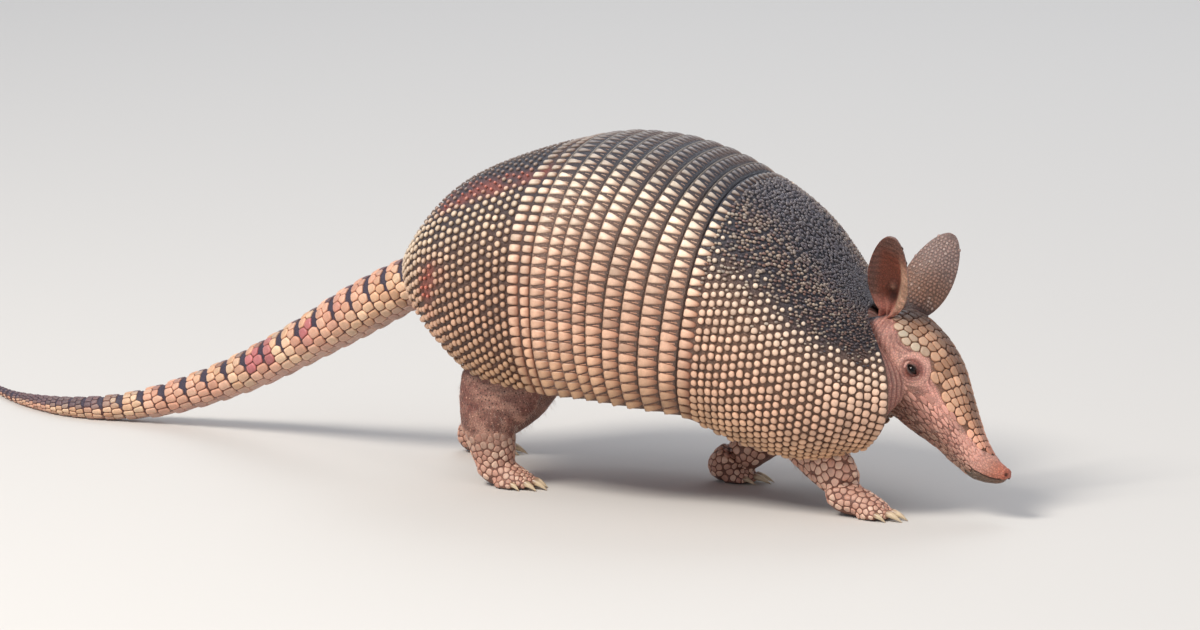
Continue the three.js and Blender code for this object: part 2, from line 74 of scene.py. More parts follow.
BAND_GAP = 0.02
LAST_BAND_END = FIRST_BAND + sum(BAND_PITCHES)

TRUNK_RANGE = (0.5, 8.92)
TRUNK_DEPTH = 5.1
BELLY_SAG = 9
CHEST_RISE = 24
CHEST_START = 6.2

HEAD_TURN = math.radians(-5)
HEAD_ROLL = math.radians(8.5)
HEAD_ROLL_HEIGHT = 85
HEAD_FROM = 166
HEAD_STATIONS = np.array([
    [-36, 80.0, 25.0, 15.0, 22.0],
    [-18, 80.0, 24.5, 15.5, 23.5],
    [-8, 80.5, 23.5, 18.0, 25.0],
    [2, 78.5, 23.0, 26.0, 26.0],
    [13, 72.5, 23.0, 25.5, 26.0],
    [23, 64.5, 21.0, 22.8, 24.0],
    [32.5, 54.2, 17.0, 18.4, 20.2],
    [41.5, 44.2, 13.2, 14.0, 15.2],
    [49.5, 35.0, 10.6, 10.8, 11.6],
    [57, 27.8, 9.2, 9.0, 9.4],
    [65, 24.0, 7.4, 6.8, 6.6],
    [71, 22.8, 5.0, 4.6, 4.4],
], float)
NOSE_LENGTH = 3.2
SIDES = {"right": -1, "left": 1}
EYE_RADIUS = 3.6
EYE_PLACE = (23.2, 18.0, 72.8)
EAR_LENGTH = 49
EAR_WIDTH = 25.6
EAR_CUP = 5.5
EAR_ROOT = (2.7, 12.5, 99)
EAR_SPLAY = {"right": 24, "left": 29}
EAR_LEAN = {"right": 15, "left": 19}
EAR_FACING = 10
EAR_SHIFT = {"right": (-0.8, 0.0, 1.6), "left": (0.0, 0.0, 0.0)}
EAR_WIDEST = 0.85              # under 1 the widest place is above the middle
EAR_FULLNESS = 0.5             # under 1 the outline is fuller than a sine
EAR_SUNK = -0.09               # share of the ear's length that goes into the head
EAR_RIDGE_PITCH = 1.5

TAIL_STATIONS = np.array([
    [-90, -1, 104.4, 12.6],
    [-109, 0, 97.0, 13.8],
    [-145.7, 8, 77.5, 14.2],
    [-184, 19, 55.9, 12.4],
    [-214, 28, 39.9, 11.4],
    [-244, 34, 26.2, 10.2],
    [-274, 37, 15.1, 9.1],
    [-290, 37, 10.6, 8.2],
    [-306, 35, 7.6, 7.2],
    [-325, 33, 5.8, 6.2],
    [-350, 38, 4.5, 4.9],
    [-388, 60, 2.8, 3.0],
    [-432, 102, 1.2, 1.4],
], float)
TAIL_NODES = [f"tail_{i}" for i in range(1, 7)]

LEGS = {
    "front_right": {
        "stations": [[108, -22, 62, 14, 17], [121, -22.5, 46, 12, 16], [134, -25.5, 32, 10, 14.5],
                     [147, -30, 21.5, 10, 12], [155, -33, 14.5, 8.5, 9.5]],
        "ankle": (162.5, -36), "heading": -10, "length": 15, "lean": -7, "toes": "fore"},
    "front_left": {
        "stations": [[112, 26, 62, 14, 17], [102, 27, 45, 12.5, 15.5], [90, 26, 30, 11.5, 13],
                     [80, 23, 20, 9.5, 10.5], [72, 21, 13.5, 8.5, 9.5]],
        "ankle": (62, 20), "heading": 6, "length": 13, "lean": 6, "toes": "fore"},
    "hind_right": {
        "stations": [[-32, -35.5, 84, 14.5, 25], [-37, -37, 60, 14.5, 23],
                     [-42, -38.5, 46, 14.3, 21.5], [-45, -40, 35, 13, 16.8],
                     [-44.5, -40, 26, 11, 13.2], [-43, -40, 18, 10, 12],
                     [-41.5, -40, 10.5, 9, 9.6]],
        "ankle": (-40, -40), "heading": -8, "length": 16, "lean": -1, "toes": "hind"},
    "hind_left": {
        "stations": [[-42, 29, 84, 13, 23], [-50, 32, 60, 13, 20],
                     [-57.5, 35, 45, 12.5, 18.5], [-65, 38, 34, 12.5, 17],
                     [-73.5, 38, 25, 11.5, 15], [-82, 37.5, 17, 10.5, 12.5],
                     [-89, 37, 10.5, 9, 9.5]],
        "ankle": (-92, 37), "heading": 8, "length": 16, "lean": 3, "toes": "hind"},
}
TOES = {
    "fore": [[-6.9, -5, 6, 2.7, 6.5, 1.6], [-2.5, -1.5, 7, 3.1, 9, 2.0],
             [2.5, -1.5, 7, 3.1, 9, 2.0], [6.9, -5, 6, 2.7, 6.5, 1.6]],
    "hind": [[-8.8, -8, 6, 2.6, 5, 1.5], [-5.0, -3, 7, 3.1, 7, 1.9], [0, -1, 7, 3.3, 8, 2.1],
             [5.0, -3, 7, 3.1, 7, 1.9], [8.8, -8, 6, 2.6, 5, 1.5]],
}
PALM_SPREAD = 0.9
SOLE_SINK = 0.5
CLAW_GAP = 0.4


# ---------------------------------------------------------------- numbers, colours and noise

def rgb(red, green, blue):
    """Linear colour from the usual 0 to 255 values."""
    c = np.array([red, green, blue], float) / 255
    return np.where(c <= 0.04045, c / 12.92, ((c + 0.055) / 1.055) ** 2.4)


def unit(vectors):
    return vectors / np.maximum(np.linalg.norm(vectors, axis=-1, keepdims=True), 1e-9)


def smooth(low, high, value):
    """0 below low and 1 above high, with a soft change between."""
    t = np.clip((np.asarray(value, float) - low) / (high - low), 0, 1)
    return t * t * (3 - 2 * t)


def mix(a, b, share):
    """Colours between a and b; share is a number for each point."""
    share = np.asarray(share, float)[..., None]
    return np.asarray(a) * (1 - share) + np.asarray(b) * share


def bump(distance, width):
    """Bell curve: 1 at distance 0, near 0 past twice the width."""
    return np.exp(-(np.asarray(distance) / width) ** 2)


LATTICE_SIZE = 32
LATTICE = np.random.default_rng(5).random((LATTICE_SIZE,) * 3) * 2 - 1


def noise(points, size, seed):
    """Smooth noise from -1 to 1 with lumps about size mm across."""
    place = np.asarray(points, float) / size + seed * 7.31
    cell = np.floor(place).astype(int)
    part = place - cell
    part = part * part * (3 - 2 * part)
    total = np.zeros(place.shape[:-1])
    for corner in np.ndindex(2, 2, 2):
        at = (cell + corner) % LATTICE_SIZE
        weight = np.where(np.array(corner) == 1, part, 1 - part).prod(-1)
        total += weight * LATTICE[at[..., 0], at[..., 1], at[..., 2]]
    return total


def rough(points, size, seed):
    """Noise of three sizes together."""
    return sum(noise(points, size / 2 ** k, seed + k) / 2 ** k for k in range(3))


def row_at(table, u):
    """Rows of values at stations u, on a smooth curve through all the rows of a table."""
    last = len(table) - 1
    u = np.asarray(u, float)
    i = np.clip(np.floor(u).astype(int), 0, last - 1)
    t = (u - i)[..., None]
    slope = np.empty_like(table)
    slope[1:-1] = (table[2:] - table[:-2]) / 2
    slope[0] = table[1] - table[0]
    slope[-1] = table[-1] - table[-2]
    rise = t * t * (3 - 2 * t)
    return (table[i] * (1 - rise) + table[i + 1] * rise
            + slope[i] * t * (1 - t) ** 2 - slope[i + 1] * t * t * (1 - t))


# ---------------------------------------------------------------- surfaces

class Surface:
    """A curved face of the body. place(u, v) gives its points, and facing is 1 or -1, for the
    way round that its outside lies."""

    step = 1e-3

    def __init__(self, place, facing=1):
        self.place = place
        self.facing = facing

    def frame(self, u, v):
        """Points, their change along u and along v, and the outward normals."""
        h = self.step
        along = (self.place(u + h, v) - self.place(u - h, v)) / (2 * h)
        around = (self.place(u, v + h) - self.place(u, v - h)) / (2 * h)
        normal = unit(np.cross(along, around)) * self.facing
        return self.place(u, v), along, around, normal

    def lifted(self, u, v, height):
        point, _, _, normal = self.frame(u, v)
        return point + normal * np.asarray(height)[..., None]


def shell_place(u, share):
    """Point of the shell at station u, a share of the way from the right rim to the left."""
    u, share = np.broadcast_arrays(np.asarray(u, float), np.asarray(share, float))
    x, z, height, half_width, lean, wrap, bow = np.moveaxis(row_at(SHELL_RIBS, u), -1, 0)
    wrap = np.radians(wrap)
    angle = -wrap + share * (math.pi + 2 * wrap)
    cosine, sine = np.cos(angle), np.sin(angle)
    across = np.sign(cosine) * np.abs(cosine) ** SHELL_ROUNDNESS
    rise = np.abs(sine) ** SHELL_ROUNDNESS
    up = height * np.where(sine < 0, -TUCK * rise, rise)
    tilt = np.radians(lean)
    shoulder = np.maximum(u - SHOULDER_START, 0) / (NECK_OPENING - SHOULDER_START)
    lead = np.where(across > 0, SHOULDER_LEAD, SHOULDER_LAG) * shoulder ** 2 * across
    return np.stack([x + up * np.sin(tilt) + bow * sine ** 2 + lead,
                     -half_width * across, z + up * np.cos(tilt)], -1)


SHELL = Surface(shell_place)


def tube(table, sideways, cap, flip=1):
    """Surface round a centre line through rows of x, y, z, half-width and depths above and
    below. Its v is the angle from sideways. Past the last row a round cap closes it."""
    table = np.asarray(table, float)
    if table.shape[1] == 5:
        table = np.column_stack([table, table[:, 4]])
    last = len(table) - 1
    sideways = np.asarray(sideways, float)

    def place(u, angle):
        u, angle = np.broadcast_arrays(np.asarray(u, float), np.asarray(angle, float))
        inner = np.clip(u, 0, last)
        row = row_at(table, inner)
        before = row_at(table, np.clip(inner - 0.01, 0, last))[..., :3]
        after = row_at(table, np.clip(inner + 0.01, 0, last))[..., :3]
        along = unit(after - before)
        side = unit(sideways - along * (along @ sideways)[..., None])
        up = flip * np.cross(along, side)
        past = np.clip(u - last, 0, 1)
        shrink = np.sqrt(np.maximum(1 - past ** 2, 1e-4))
        sine = np.sin(angle)
        depth = np.where(sine > 0, row[..., 4], row[..., 5]) * sine
        return (row[..., :3] + along * (cap * past)[..., None]
                + side * (np.cos(angle) * row[..., 3] * shrink)[..., None]
                + up * (depth * shrink)[..., None])

    return Surface(place, -flip)


def from_head(forward, side, height):
    """From the head's upright plane to the animal's axes; side is positive to the left."""
    forward, side, height = (np.asarray(a, float) for a in (forward, side, height))
    up = height - HEAD_ROLL_HEIGHT
    out = side * math.cos(HEAD_ROLL) + up * math.sin(HEAD_ROLL)
    return np.stack([HEAD_FROM + forward * math.cos(HEAD_TURN) - out * math.sin(HEAD_TURN),
                     forward * math.sin(HEAD_TURN) + out * math.cos(HEAD_TURN),
                     HEAD_ROLL_HEIGHT + up * math.cos(HEAD_ROLL)
                     - side * math.sin(HEAD_ROLL)], -1)


def to_head(points):
    """The head's forward, side and height of points."""
    x = points[..., 0] - HEAD_FROM
    y = points[..., 1]
    forward = x * math.cos(HEAD_TURN) + y * math.sin(HEAD_TURN)
    out = -x * math.sin(HEAD_TURN) + y * math.cos(HEAD_TURN)
    rise = points[..., 2] - HEAD_ROLL_HEIGHT
    side = out * math.cos(HEAD_ROLL) - rise * math.sin(HEAD_ROLL)
    up = out * math.sin(HEAD_ROLL) + rise * math.cos(HEAD_ROLL)
    return np.stack([forward, side, up + HEAD_ROLL_HEIGHT], -1)


HEAD_LEFT = from_head(0, 1, 0) - from_head(0, 0, 0)
HEAD_TABLE = np.column_stack([
    from_head(HEAD_STATIONS[:, 0], np.zeros(len(HEAD_STATIONS)), HEAD_STATIONS[:, 1]),
    HEAD_STATIONS[:, 2:]])
HEAD = tube(HEAD_TABLE, HEAD_LEFT, cap=NOSE_LENGTH)
HEAD_LAST = len(HEAD_STATIONS) - 1
TAIL = tube(np.column_stack([TAIL_STATIONS, TAIL_STATIONS[:, 3]]), (0, 1, 0), flip=-1, cap=1.0)
TAIL_LAST = len(TAIL_STATIONS) - 1


# ---------------------------------------------------------------- gathering meshes

class Form:
    """Points, faces, colours and flat-map places gathered into one mesh."""

    def __init__(self):
        self.points, self.tints, self.maps = [], [], []
        self.quads, self.triangles = [np.zeros((0, 4), int)], [np.zeros((0, 3), int)]
        self.count = 0

    def add(self, points, tint, flat=None, quads=(), triangles=()):
        """Adds points, their colours and faces; parts of the skin have no flat map."""
        self.tints.append(np.broadcast_to(tint, points.shape).reshape(-1, 3))
        self.points.append(points.reshape(-1, 3))
        if flat is not None:
            self.maps.append(flat.reshape(-1, 2))
        for faces, kept in ((quads, self.quads), (triangles, self.triangles)):
            if len(faces):
                kept.append(faces + self.count)
        self.count += len(self.points[-1])

    def mesh(self, name):
        points = np.concatenate(self.points)
        quads, triangles = np.concatenate(self.quads), np.concatenate(self.triangles)
        corners = np.concatenate([quads.ravel(), triangles.ravel()])
        sizes = np.repeat([4, 3], [len(quads), len(triangles)])
        mesh = bpy.data.meshes.new(name)
        mesh.vertices.add(len(points))
        mesh.vertices.foreach_set("co", ((points + TO_BOX_CENTRE) * METRE).ravel())
        mesh.loops.add(len(corners))
        mesh.loops.foreach_set("vertex_index", corners)
        mesh.polygons.add(len(sizes))
        mesh.polygons.foreach_set("loop_start", np.cumsum(sizes) - sizes)
        mesh.polygons.foreach_set("use_smooth", np.ones(len(sizes), bool))
        mesh.update(calc_edges=True)
        mesh.validate()
        tint = mesh.attributes.new("tint", "FLOAT_COLOR", "POINT")
        colours = np.column_stack([np.clip(np.concatenate(self.tints), DARKEST, 1),
                                   np.ones(len(points))])
        tint.data.foreach_set("color", colours.ravel())
        if self.maps:
            flat = mesh.uv_layers.new(name="OFBake")
            flat.data.foreach_set("uv", np.concatenate(self.maps)[corners].ravel())
        return mesh

    def piece(self, name, material, nodes=()):
        """The finished object, riding on the body in place of its solids."""
        made = bpy.data.objects.new(name, self.mesh(name))
        made.data.materials.append(material)
        bpy.context.scene.collection.objects.link(made)
        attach(made, "root")
        if nodes:
            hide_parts(*nodes)


def grid_faces(rows, columns, closed=False, turned=False, start=0):
    """Four-cornered faces of a net of points; closed joins its last column to the first."""
    i, j = np.meshgrid(np.arange(rows - 1), np.arange(columns - (not closed)), indexing="ij")
    k = (j + 1) % columns
    a, b = i * columns, (i + 1) * columns
    faces = np.stack([a + j, b + j, b + k, a + k], -1).reshape(-1, 4) + start
    return faces[:, ::-1] if turned else faces


def fan(ring, tip, turned=False):
    """Triangles from a ring of point numbers to one tip."""
    after = np.roll(ring, -1)
    faces = np.stack([ring, after, np.full(len(ring), tip)], -1)
    return faces[:, ::-1] if turned else faces


def add_net(form, points, tone, turned=False):
    """Closed skin over rows of points: columns join round, a middle point closes each end."""
    rows, columns = points.shape[:2]
    count = rows * columns
    ring = np.arange(columns)
    points, tone = (np.concatenate([part.reshape(-1, 3), part[[0, -1]].mean(1)])
                    for part in (points, tone))
    quads = grid_faces(rows, columns, closed=True)
    if turned:
        quads = quads[:, [0, 3, 2, 1]]      # still split along the same diagonal
    form.add(points, tone, quads=quads,
             triangles=np.concatenate([fan(ring, count, turned),
                                       fan(ring + count - columns, count + 1, not turned)]))


def flat_place(u, v, u_range, v_range):
    """Places on the flat map for stations and shares over their ranges."""
    scale = 1 - 2 * MAP_MARGIN
    return np.stack([MAP_MARGIN + scale * (v - v_range[0]) / (v_range[1] - v_range[0]),
                     MAP_MARGIN + scale * (u - u_range[0]) / (u_range[1] - u_range[0])], -1)


# ---------------------------------------------------------------- scutes and scales

# Rings of a scute from its rim inwards: share of its radius, share of its height, shade.
# the shades are painted: painted shade darkest on the rim rings, and where above 1 a painted
# highlight on the top
DOME = [(1.0, -0.45, 0.42), (0.96, 0.18, 0.62), (0.84, 0.58, 0.92), (0.6, 0.86, 1.03),
        (0.28, 0.98, 1.07)]
PEBBLE = [(0.97, 0.3, 0.7), (0.86, 0.82, 0.97), (0.5, 1.0, 1.04)]
TILE = [(1.0, -0.7, 0.58), (0.98, 0.2, 0.8), (0.9, 0.8, 1.07), (0.55, 1.0, 0.9)]
SOFT_TILE = [(1.0, -0.6, 0.72), (0.96, 0.25, 0.88), (0.86, 0.8, 1.05), (0.5, 1.0, 0.97)]
GRAIN = [(1.0, -0.5, 0.6), (0.8, 0.6, 0.95)]
NEIGHBOURS = 9           # a cell is bounded by this many of the nearest other centres
CELL_BATCH = 400
SAME_SIDE = 0.2          # cosine between normals, under which a neighbour is on another side
FAR_OFF = 1e3
RIM_WARMTH = np.array([1.12, 0.98, 0.9])     # the painted shade on a scute's rim rings is tinted warmer than its top
RIM_SHADE = 0.9                              # rings darker than this are rim


def run_along(line, pitch=1.0):
    """How many pitches lie along a line of points, up to each of them."""
    gaps = np.linalg.norm(np.diff(line, axis=0), axis=1)
    return np.concatenate([[0], np.cumsum(gaps / pitch)])


def rows_of_centres(surface, stations, v_range, pitch, jitter=0.08):
    """Places of scutes in staggered rows: one row at each station, pitch(u, v) mm apart."""
    v = np.linspace(*v_range, 240)
    middle = (v[1:] + v[:-1]) / 2
    found = []
    for number, u in enumerate(stations):
        line = surface.place(np.full_like(v, u), v)
        run = run_along(line, pitch(np.full_like(middle, u), middle))
        total = max(int(round(run[-1])), 1)
        marks = (np.arange(total) + (0.25 if number % 2 else 0.75)) * run[-1] / total
        places = np.interp(marks, run, v)
        spread = jitter * (v_range[1] - v_range[0]) / total
        found.append(np.stack([np.full(total, u), places + RANDOM.normal(0, spread, total)], -1))
    return np.concatenate(found)


def stations_along(surface, u_range, v, pitch):
    """Stations of rows that lie pitch(u) mm apart along the line at v."""
    u = np.linspace(*u_range, 400)
    run = run_along(surface.place(u, np.full_like(u, v)), pitch((u[1:] + u[:-1]) / 2))
    total = int(round(run[-1]))
    return np.interp((np.arange(total) + 0.5) * run[-1] / total, run, u)


def local_axes(surface, centres):
    point, along, around, normal = surface.frame(centres[:, 0], centres[:, 1])
    first = unit(around)
    second = np.cross(normal, first)
    return point, along, around, normal, first, second


def cell_rims(point, normal, first, second, others, around, angles, gap, largest,
              squareness, stretch=1.0):
    """Distance from each point to the rim of its own cell, halfway to the others near it.
    Cells are stretch times as long along the second axis as across it."""
    theta = np.arange(angles) * TURN / angles
    turned = np.arctan2(np.sin(theta) / stretch, np.cos(theta))
    shrink = np.hypot(np.cos(theta), np.sin(theta) / stretch)
    near = min(NEIGHBOURS, len(point) - 1)
    radii = np.empty((len(point), angles))
    for begin in range(0, len(point), CELL_BATCH):
        rows = slice(begin, begin + CELL_BATCH)
        offset = others[None] - point[rows, None]
        axis = second[rows, None]
        offset = offset - (1 - 1 / stretch) * (offset * axis).sum(-1, keepdims=True) * axis
        distance = np.linalg.norm(offset, axis=-1)
        facing = normal[rows] @ around.T
        distance[facing < SAME_SIDE] = FAR_OFF
        order = np.argsort(distance, axis=1)[:, 1:near + 1]
        towards = np.take_along_axis(offset, order[..., None], 1)
        x = np.einsum("nki,ni->nk", towards, first[rows])
        y = np.einsum("nki,ni->nk", towards, second[rows])
        half = np.maximum(np.take_along_axis(distance, order, 1) / 2 - gap / 2, 0.1)
        cosine = np.cos(turned[None, None] - np.arctan2(y, x)[..., None])
        reach = half[..., None] / np.maximum(cosine, 0.02)
        radii[rows] = (reach ** -squareness).sum(1)
    largest = np.broadcast_to(np.asarray(largest, float), (len(point),))
    return (radii + largest[:, None] ** -squareness) ** (-1 / squareness) / shrink


def cell_radii(surface, centres, angles, gap, largest, squareness=8.0, beyond=None,
               stretch=1.0):
    """Cells round centres on a surface. beyond holds further centres that only bound the
    cells, such as mirror images across a joint."""
    point, _, _, normal, first, second = local_axes(surface, centres)
    others, around = point, normal
    if beyond is not None:
        others = np.concatenate([point, surface.place(*beyond.T)])
        around = np.concatenate([normal, surface.frame(*beyond.T)[3]])
    return cell_rims(point, normal, first, second, others, around, angles, gap, largest,
                     squareness, stretch)


def raise_caps(form, radii, profile, tone, seat, tip_shade=None):
    """One raised cap inside each row of radii, ring by ring of its profile. seat(x, y, level)
    gives points and flat-map places x and y mm from the centres; tip_shade darkens low y."""
    steps, angles = len(profile), radii.shape[1]
    theta = np.arange(angles) * TURN / angles
    rings, colours, flats = [], [], []
    for share, level, shade in [*profile, (0.0, 1.0, profile[-1][2])]:
        reach = radii * share if share else radii[:, :1] * 0
        x = reach * np.cos(theta)[:reach.shape[1]]
        y = reach * np.sin(theta)[:reach.shape[1]]
        place, flat = seat(x, y, level)
        tint = np.broadcast_to(tone[:, None], place.shape) * shade
        if tip_shade is not None:
            toward_tip = smooth(0.25, -0.85, y / radii.max(1)[:, None])
            tint = tint * (1 - (1 - tip_shade) * toward_tip[..., None])
        rings.append(place)
        colours.append(tint * RIM_WARMTH if shade < RIM_SHADE else tint)
        flats.append(flat)
    size = steps * angles + 1
    net = grid_faces(steps, angles, closed=True, turned=True)
    tips = fan(np.arange(angles) + (steps - 1) * angles, size - 1)
    offsets = np.arange(len(radii))[:, None, None] * size
    form.add(*(np.concatenate(part, 1) for part in (rings, colours, flats)),
             (net[None] + offsets).reshape(-1, 4), (tips[None] + offsets).reshape(-1, 3))


def raise_scutes(form, surface, centres, radii, height, tone, ranges, profile=DOME, tilt=0.0,
                 tip_shade=None):
    """Adds one raised scute at each centre. tone is its colour. tilt raises the side that
    looks along the second local axis, and tip_shade darkens the opposite side."""
    _, along, around, normal, first, second = local_axes(surface, centres)
    a11, a12 = (along * first).sum(-1)[:, None], (around * first).sum(-1)[:, None]
    a21, a22 = (along * second).sum(-1)[:, None], (around * second).sum(-1)[:, None]
    area = a11 * a22 - a12 * a21
    height = np.broadcast_to(height, len(radii))[:, None]

    def seat(x, y, level):
        u = centres[:, :1] + (x * a22 - y * a12) / area
        v = centres[:, 1:] + (y * a11 - x * a21) / area
        up = height * level + tilt * y * (level > 0)
        return surface.place(u, v) + normal[:, None] * up[..., None], flat_place(u, v, *ranges)

    raise_caps(form, radii, profile, tone, seat, tip_shade)


def wedge_radii(lengths, rear_width, front_width, angles, rear_share, squareness):
    """Rims of wedges: wide and round at the rear, narrow in front. Half-widths in mm."""
    theta = np.arange(angles) * TURN / angles
    rear = lengths * rear_share
    front = lengths * (1 - rear_share)
    slope = front_width - rear_width
    norm = np.hypot(lengths, slope)
    side = (lengths * rear_width + slope * rear) / norm
    lean = np.arctan2(slope, lengths)
    total = 0
    for distance, direction in ((rear, math.pi / 2), (front, -math.pi / 2),
                                (side, lean), (side, math.pi - lean)):
        direction = np.broadcast_to(direction, distance.shape)
        cosine = np.cos(theta[None] - direction[:, None])
        total = total + (distance[:, None] / np.maximum(cosine, 0.02)) ** -squareness
    return total ** (-1 / squareness)


# ---------------------------------------------------------------- materials

class Shading:
    """The nodes of a material that is coloured by the mesh's tint."""

    def __init__(self, name, constants):
        self.material = bpy.data.materials.new(name)
        self.material.use_nodes = True
        self.tree = self.material.node_tree
        self.shader = self.tree.nodes["Principled BSDF"]
        self.feed(self.shader, constants)
        self.tint = self.node("Attribute", "Color", {}, attribute_name="tint")

    def feed(self, node, inputs):
        """Sets a node's inputs to numbers, or links them to the outputs of other nodes."""
        for socket, value in inputs.items():
            if isinstance(value, bpy.types.NodeSocket):
                self.tree.links.new(value, node.inputs[socket])
            else:
                node.inputs[socket].default_value = value

    def node(self, kind, output, inputs, **settings):
        """An output of a new node."""
        made = self.tree.nodes.new("ShaderNode" + kind)
        for setting, value in settings.items():
            setattr(made, setting, value)
        self.feed(made, inputs)
        return made.outputs[output]

    def ramp(self, value, low, high, start=0.3, end=0.7):
        """low where the value is start, high where it is end."""
        return self.node("MapRange", "Result", {"Value": value, "From Min": start,
                                                "From Max": end, "To Min": low, "To Max": high})

    def times(self, colour, factor):
        return self.node("VectorMath", "Vector", {0: colour, "Scale": factor}, operation="SCALE")


def node_material(name, roughness, mottle, fine, relief, cells=0.0, cell_relief=0.0,
                  subsurface=0.0, coat=0.0, specular=0.5, streak=(1, 1, 1)):
    """Tinted material broken up by noise and cells a few tenths of a millimetre to a few
    millimetres across. Sizes are in mm, reliefs in mm."""
    made = Shading(name, {"Specular IOR Level": specular, "Coat Weight": coat,
                          "Coat Roughness": 0.25, "Subsurface Weight": subsurface,
                          "Subsurface Scale": 0.004})
    place = made.node("TexCoord", "Object", {})
    place = made.node("Mapping", "Vector", {"Vector": place, "Scale": streak})
    coarse, grain = (made.node("TexNoise", "Fac", {"Vector": place, "Detail": detail,
                                                   "Scale": 1 / (size * METRE)})
                     for size, detail in ((fine * 6, 4), (fine, 3)))
    colour = made.times(made.tint, made.ramp(coarse, 1 - mottle, 1 + mottle))
    colour = made.times(colour, made.ramp(grain, 1 - mottle * 0.7, 1 + mottle * 0.7))
    height = grain
    if cells:
        net = made.node("TexVoronoi", "Distance", {"Vector": place,
                                                   "Scale": 1 / (cells * METRE)},
                        feature="DISTANCE_TO_EDGE")
        edge = made.ramp(net, 0.62, 1.06, 0.0, 0.22)
        colour = made.times(colour, edge)
        height = made.node("Math", "Value", {0: edge, 1: cell_relief / relief * 2, 2: grain},
                           operation="MULTIPLY_ADD")
    normal = made.node("Bump", "Normal", {"Strength": 0.8, "Distance": relief * METRE,
                                          "Height": height})
    made.feed(made.shader, {"Base Color": colour, "Normal": normal,
                            "Roughness": made.ramp(coarse, roughness - 0.1, roughness + 0.12)})
    return made.material


def eye_material():
    made = Shading("eye_gloss", {"Coat Weight": 0.2, "Coat Roughness": 0.03,
                                 "Specular IOR Level": 0.15})
    veins = made.node("TexNoise", "Fac", {"Vector": made.node("TexCoord", "Object", {}),
                                          "Scale": 1600})
    made.feed(made.shader, {"Base Color": made.times(made.tint, made.ramp(veins, 0.6, 1.4, 0, 1)),
                            "Roughness": made.ramp(veins, 0.08, 0.16, 0, 1)})
    return made.material


SCUTE_HORN = node_material("scute_horn", 0.4, 0.10, 0.5, 0.12, specular=0.55, coat=0.1)
GROUND_HORN = node_material("ground_horn", 0.52, 0.16, 0.6, 0.2, cells=1.35, cell_relief=0.3)
SKIN = node_material("skin", 0.56, 0.09, 0.45, 0.16, cells=1.4, cell_relief=0.1,
                     subsurface=0.12)
SCALE_SKIN = node_material("scale_skin", 0.5, 0.08, 0.5, 0.12, subsurface=0.06)
TAIL_HORN = node_material("tail_horn", 0.5, 0.09, 0.6, 0.12, subsurface=0.05)
CLAW_HORN = node_material("claw_horn", 0.36, 0.14, 0.5, 0.08, coat=0.2, streak=(0.3, 1, 1))
HAIR = node_material("hair", 0.5, 0.1, 0.5, 0.02)
EYE_GLOSS = eye_material()


# ---------------------------------------------------------------- shell

CREAM = rgb(222, 204, 182)
FLANK_TAN = rgb(205, 164, 138)
LOW_TAN = rgb(186, 146, 112)
# Dark slate of the top of the shell: partly its own darker colour, partly a painted reflection of
# the sky that gives it its blue cast.
SLATE_AND_SKY_SHEEN = rgb(58, 56, 64)
UMBER = rgb(96, 70, 60)
WARM_GROUND = rgb(138, 105, 86)
BAND_GROUND = rgb(136, 108, 94)
RIM_BROWN = rgb(122, 84, 66)
SORE_RED = rgb(186, 98, 82)
RUMP_SHADE = np.array([0.87, 0.84, 0.79])
SHELL_RANGES = {"pelvic": ((-0.05, FIRST_BAND), (0, 1)),
                "scapular": ((LAST_BAND_END, NECK_OPENING + 0.05), (0, 1))}
GROUND_DEPTH = 0.8
PLATE_DEPTH = 3.4
RIM_DEPTH = 1.9          # plates thin towards the tail hole

# Sore spots on the rump: station, share, reach in stations, reach in shares.
SORES = [(2.05, 0.375, 0.26, 0.03), (2.4, 0.365, 0.3, 0.022), (2.75, 0.37, 0.25, 0.016),
         (1.83, 0.215, 0.16, 0.022), (1.62, 0.19, 0.12, 0.03)]


def flank(share):
    """0 on the midline of the back, 1 at the lower rim."""
    return np.abs(2 * np.asarray(share) - 1)


def soreness(u, share, points):
    total = sum(bump((u - cu) / ru, 1) * bump((share - cs) / rs, 1) for cu, cs, ru, rs in SORES)
    return np.clip(total * (0.9 + 1.1 * noise(points, 6, 3)), 0, 1)


def ground_tone(u, share, points):
    side = flank(share)
    # slate over the top of the back: partly its own darker colour, partly a painted reflection of
    # the sky
    tone = mix(SLATE_AND_SKY_SHEEN, UMBER, smooth(0.25, 0.62, side + 0.08 * noise(points, 30, 1)))
    tone = mix(tone, RIM_BROWN, smooth(0.72, 0.98, side))
    tone = mix(tone, UMBER * 0.8, 0.5 * smooth(0.1, 0.6, noise(points, 14, 2)))
    tone = mix(tone, WARM_GROUND, 0.75 * smooth(0.36, 0.6, side) * smooth(5.8, 6.6, u))
    # darker slate on the upper front, with the same painted sky reflection
    front = smooth(6.4, 8.6, u) * smooth(0.5, 0.3, side)
    tone = mix(tone, SLATE_AND_SKY_SHEEN * 0.8, front)
    return mix(tone, SORE_RED * 0.7, 0.6 * soreness(u, share, points))


def scute_tone(u, share, points):
    side = flank(share)
    tone = mix(CREAM, FLANK_TAN, smooth(0.3, 0.75, side))
    tone = mix(tone, LOW_TAN, smooth(0.7, 1.0, side))
    varied = 1 + 0.1 * RANDOM.normal(size=len(u))[:, None] + 0.12 * noise(points, 18, 4)[:, None]
    return tone * np.clip(varied, 0.6, 1.3)


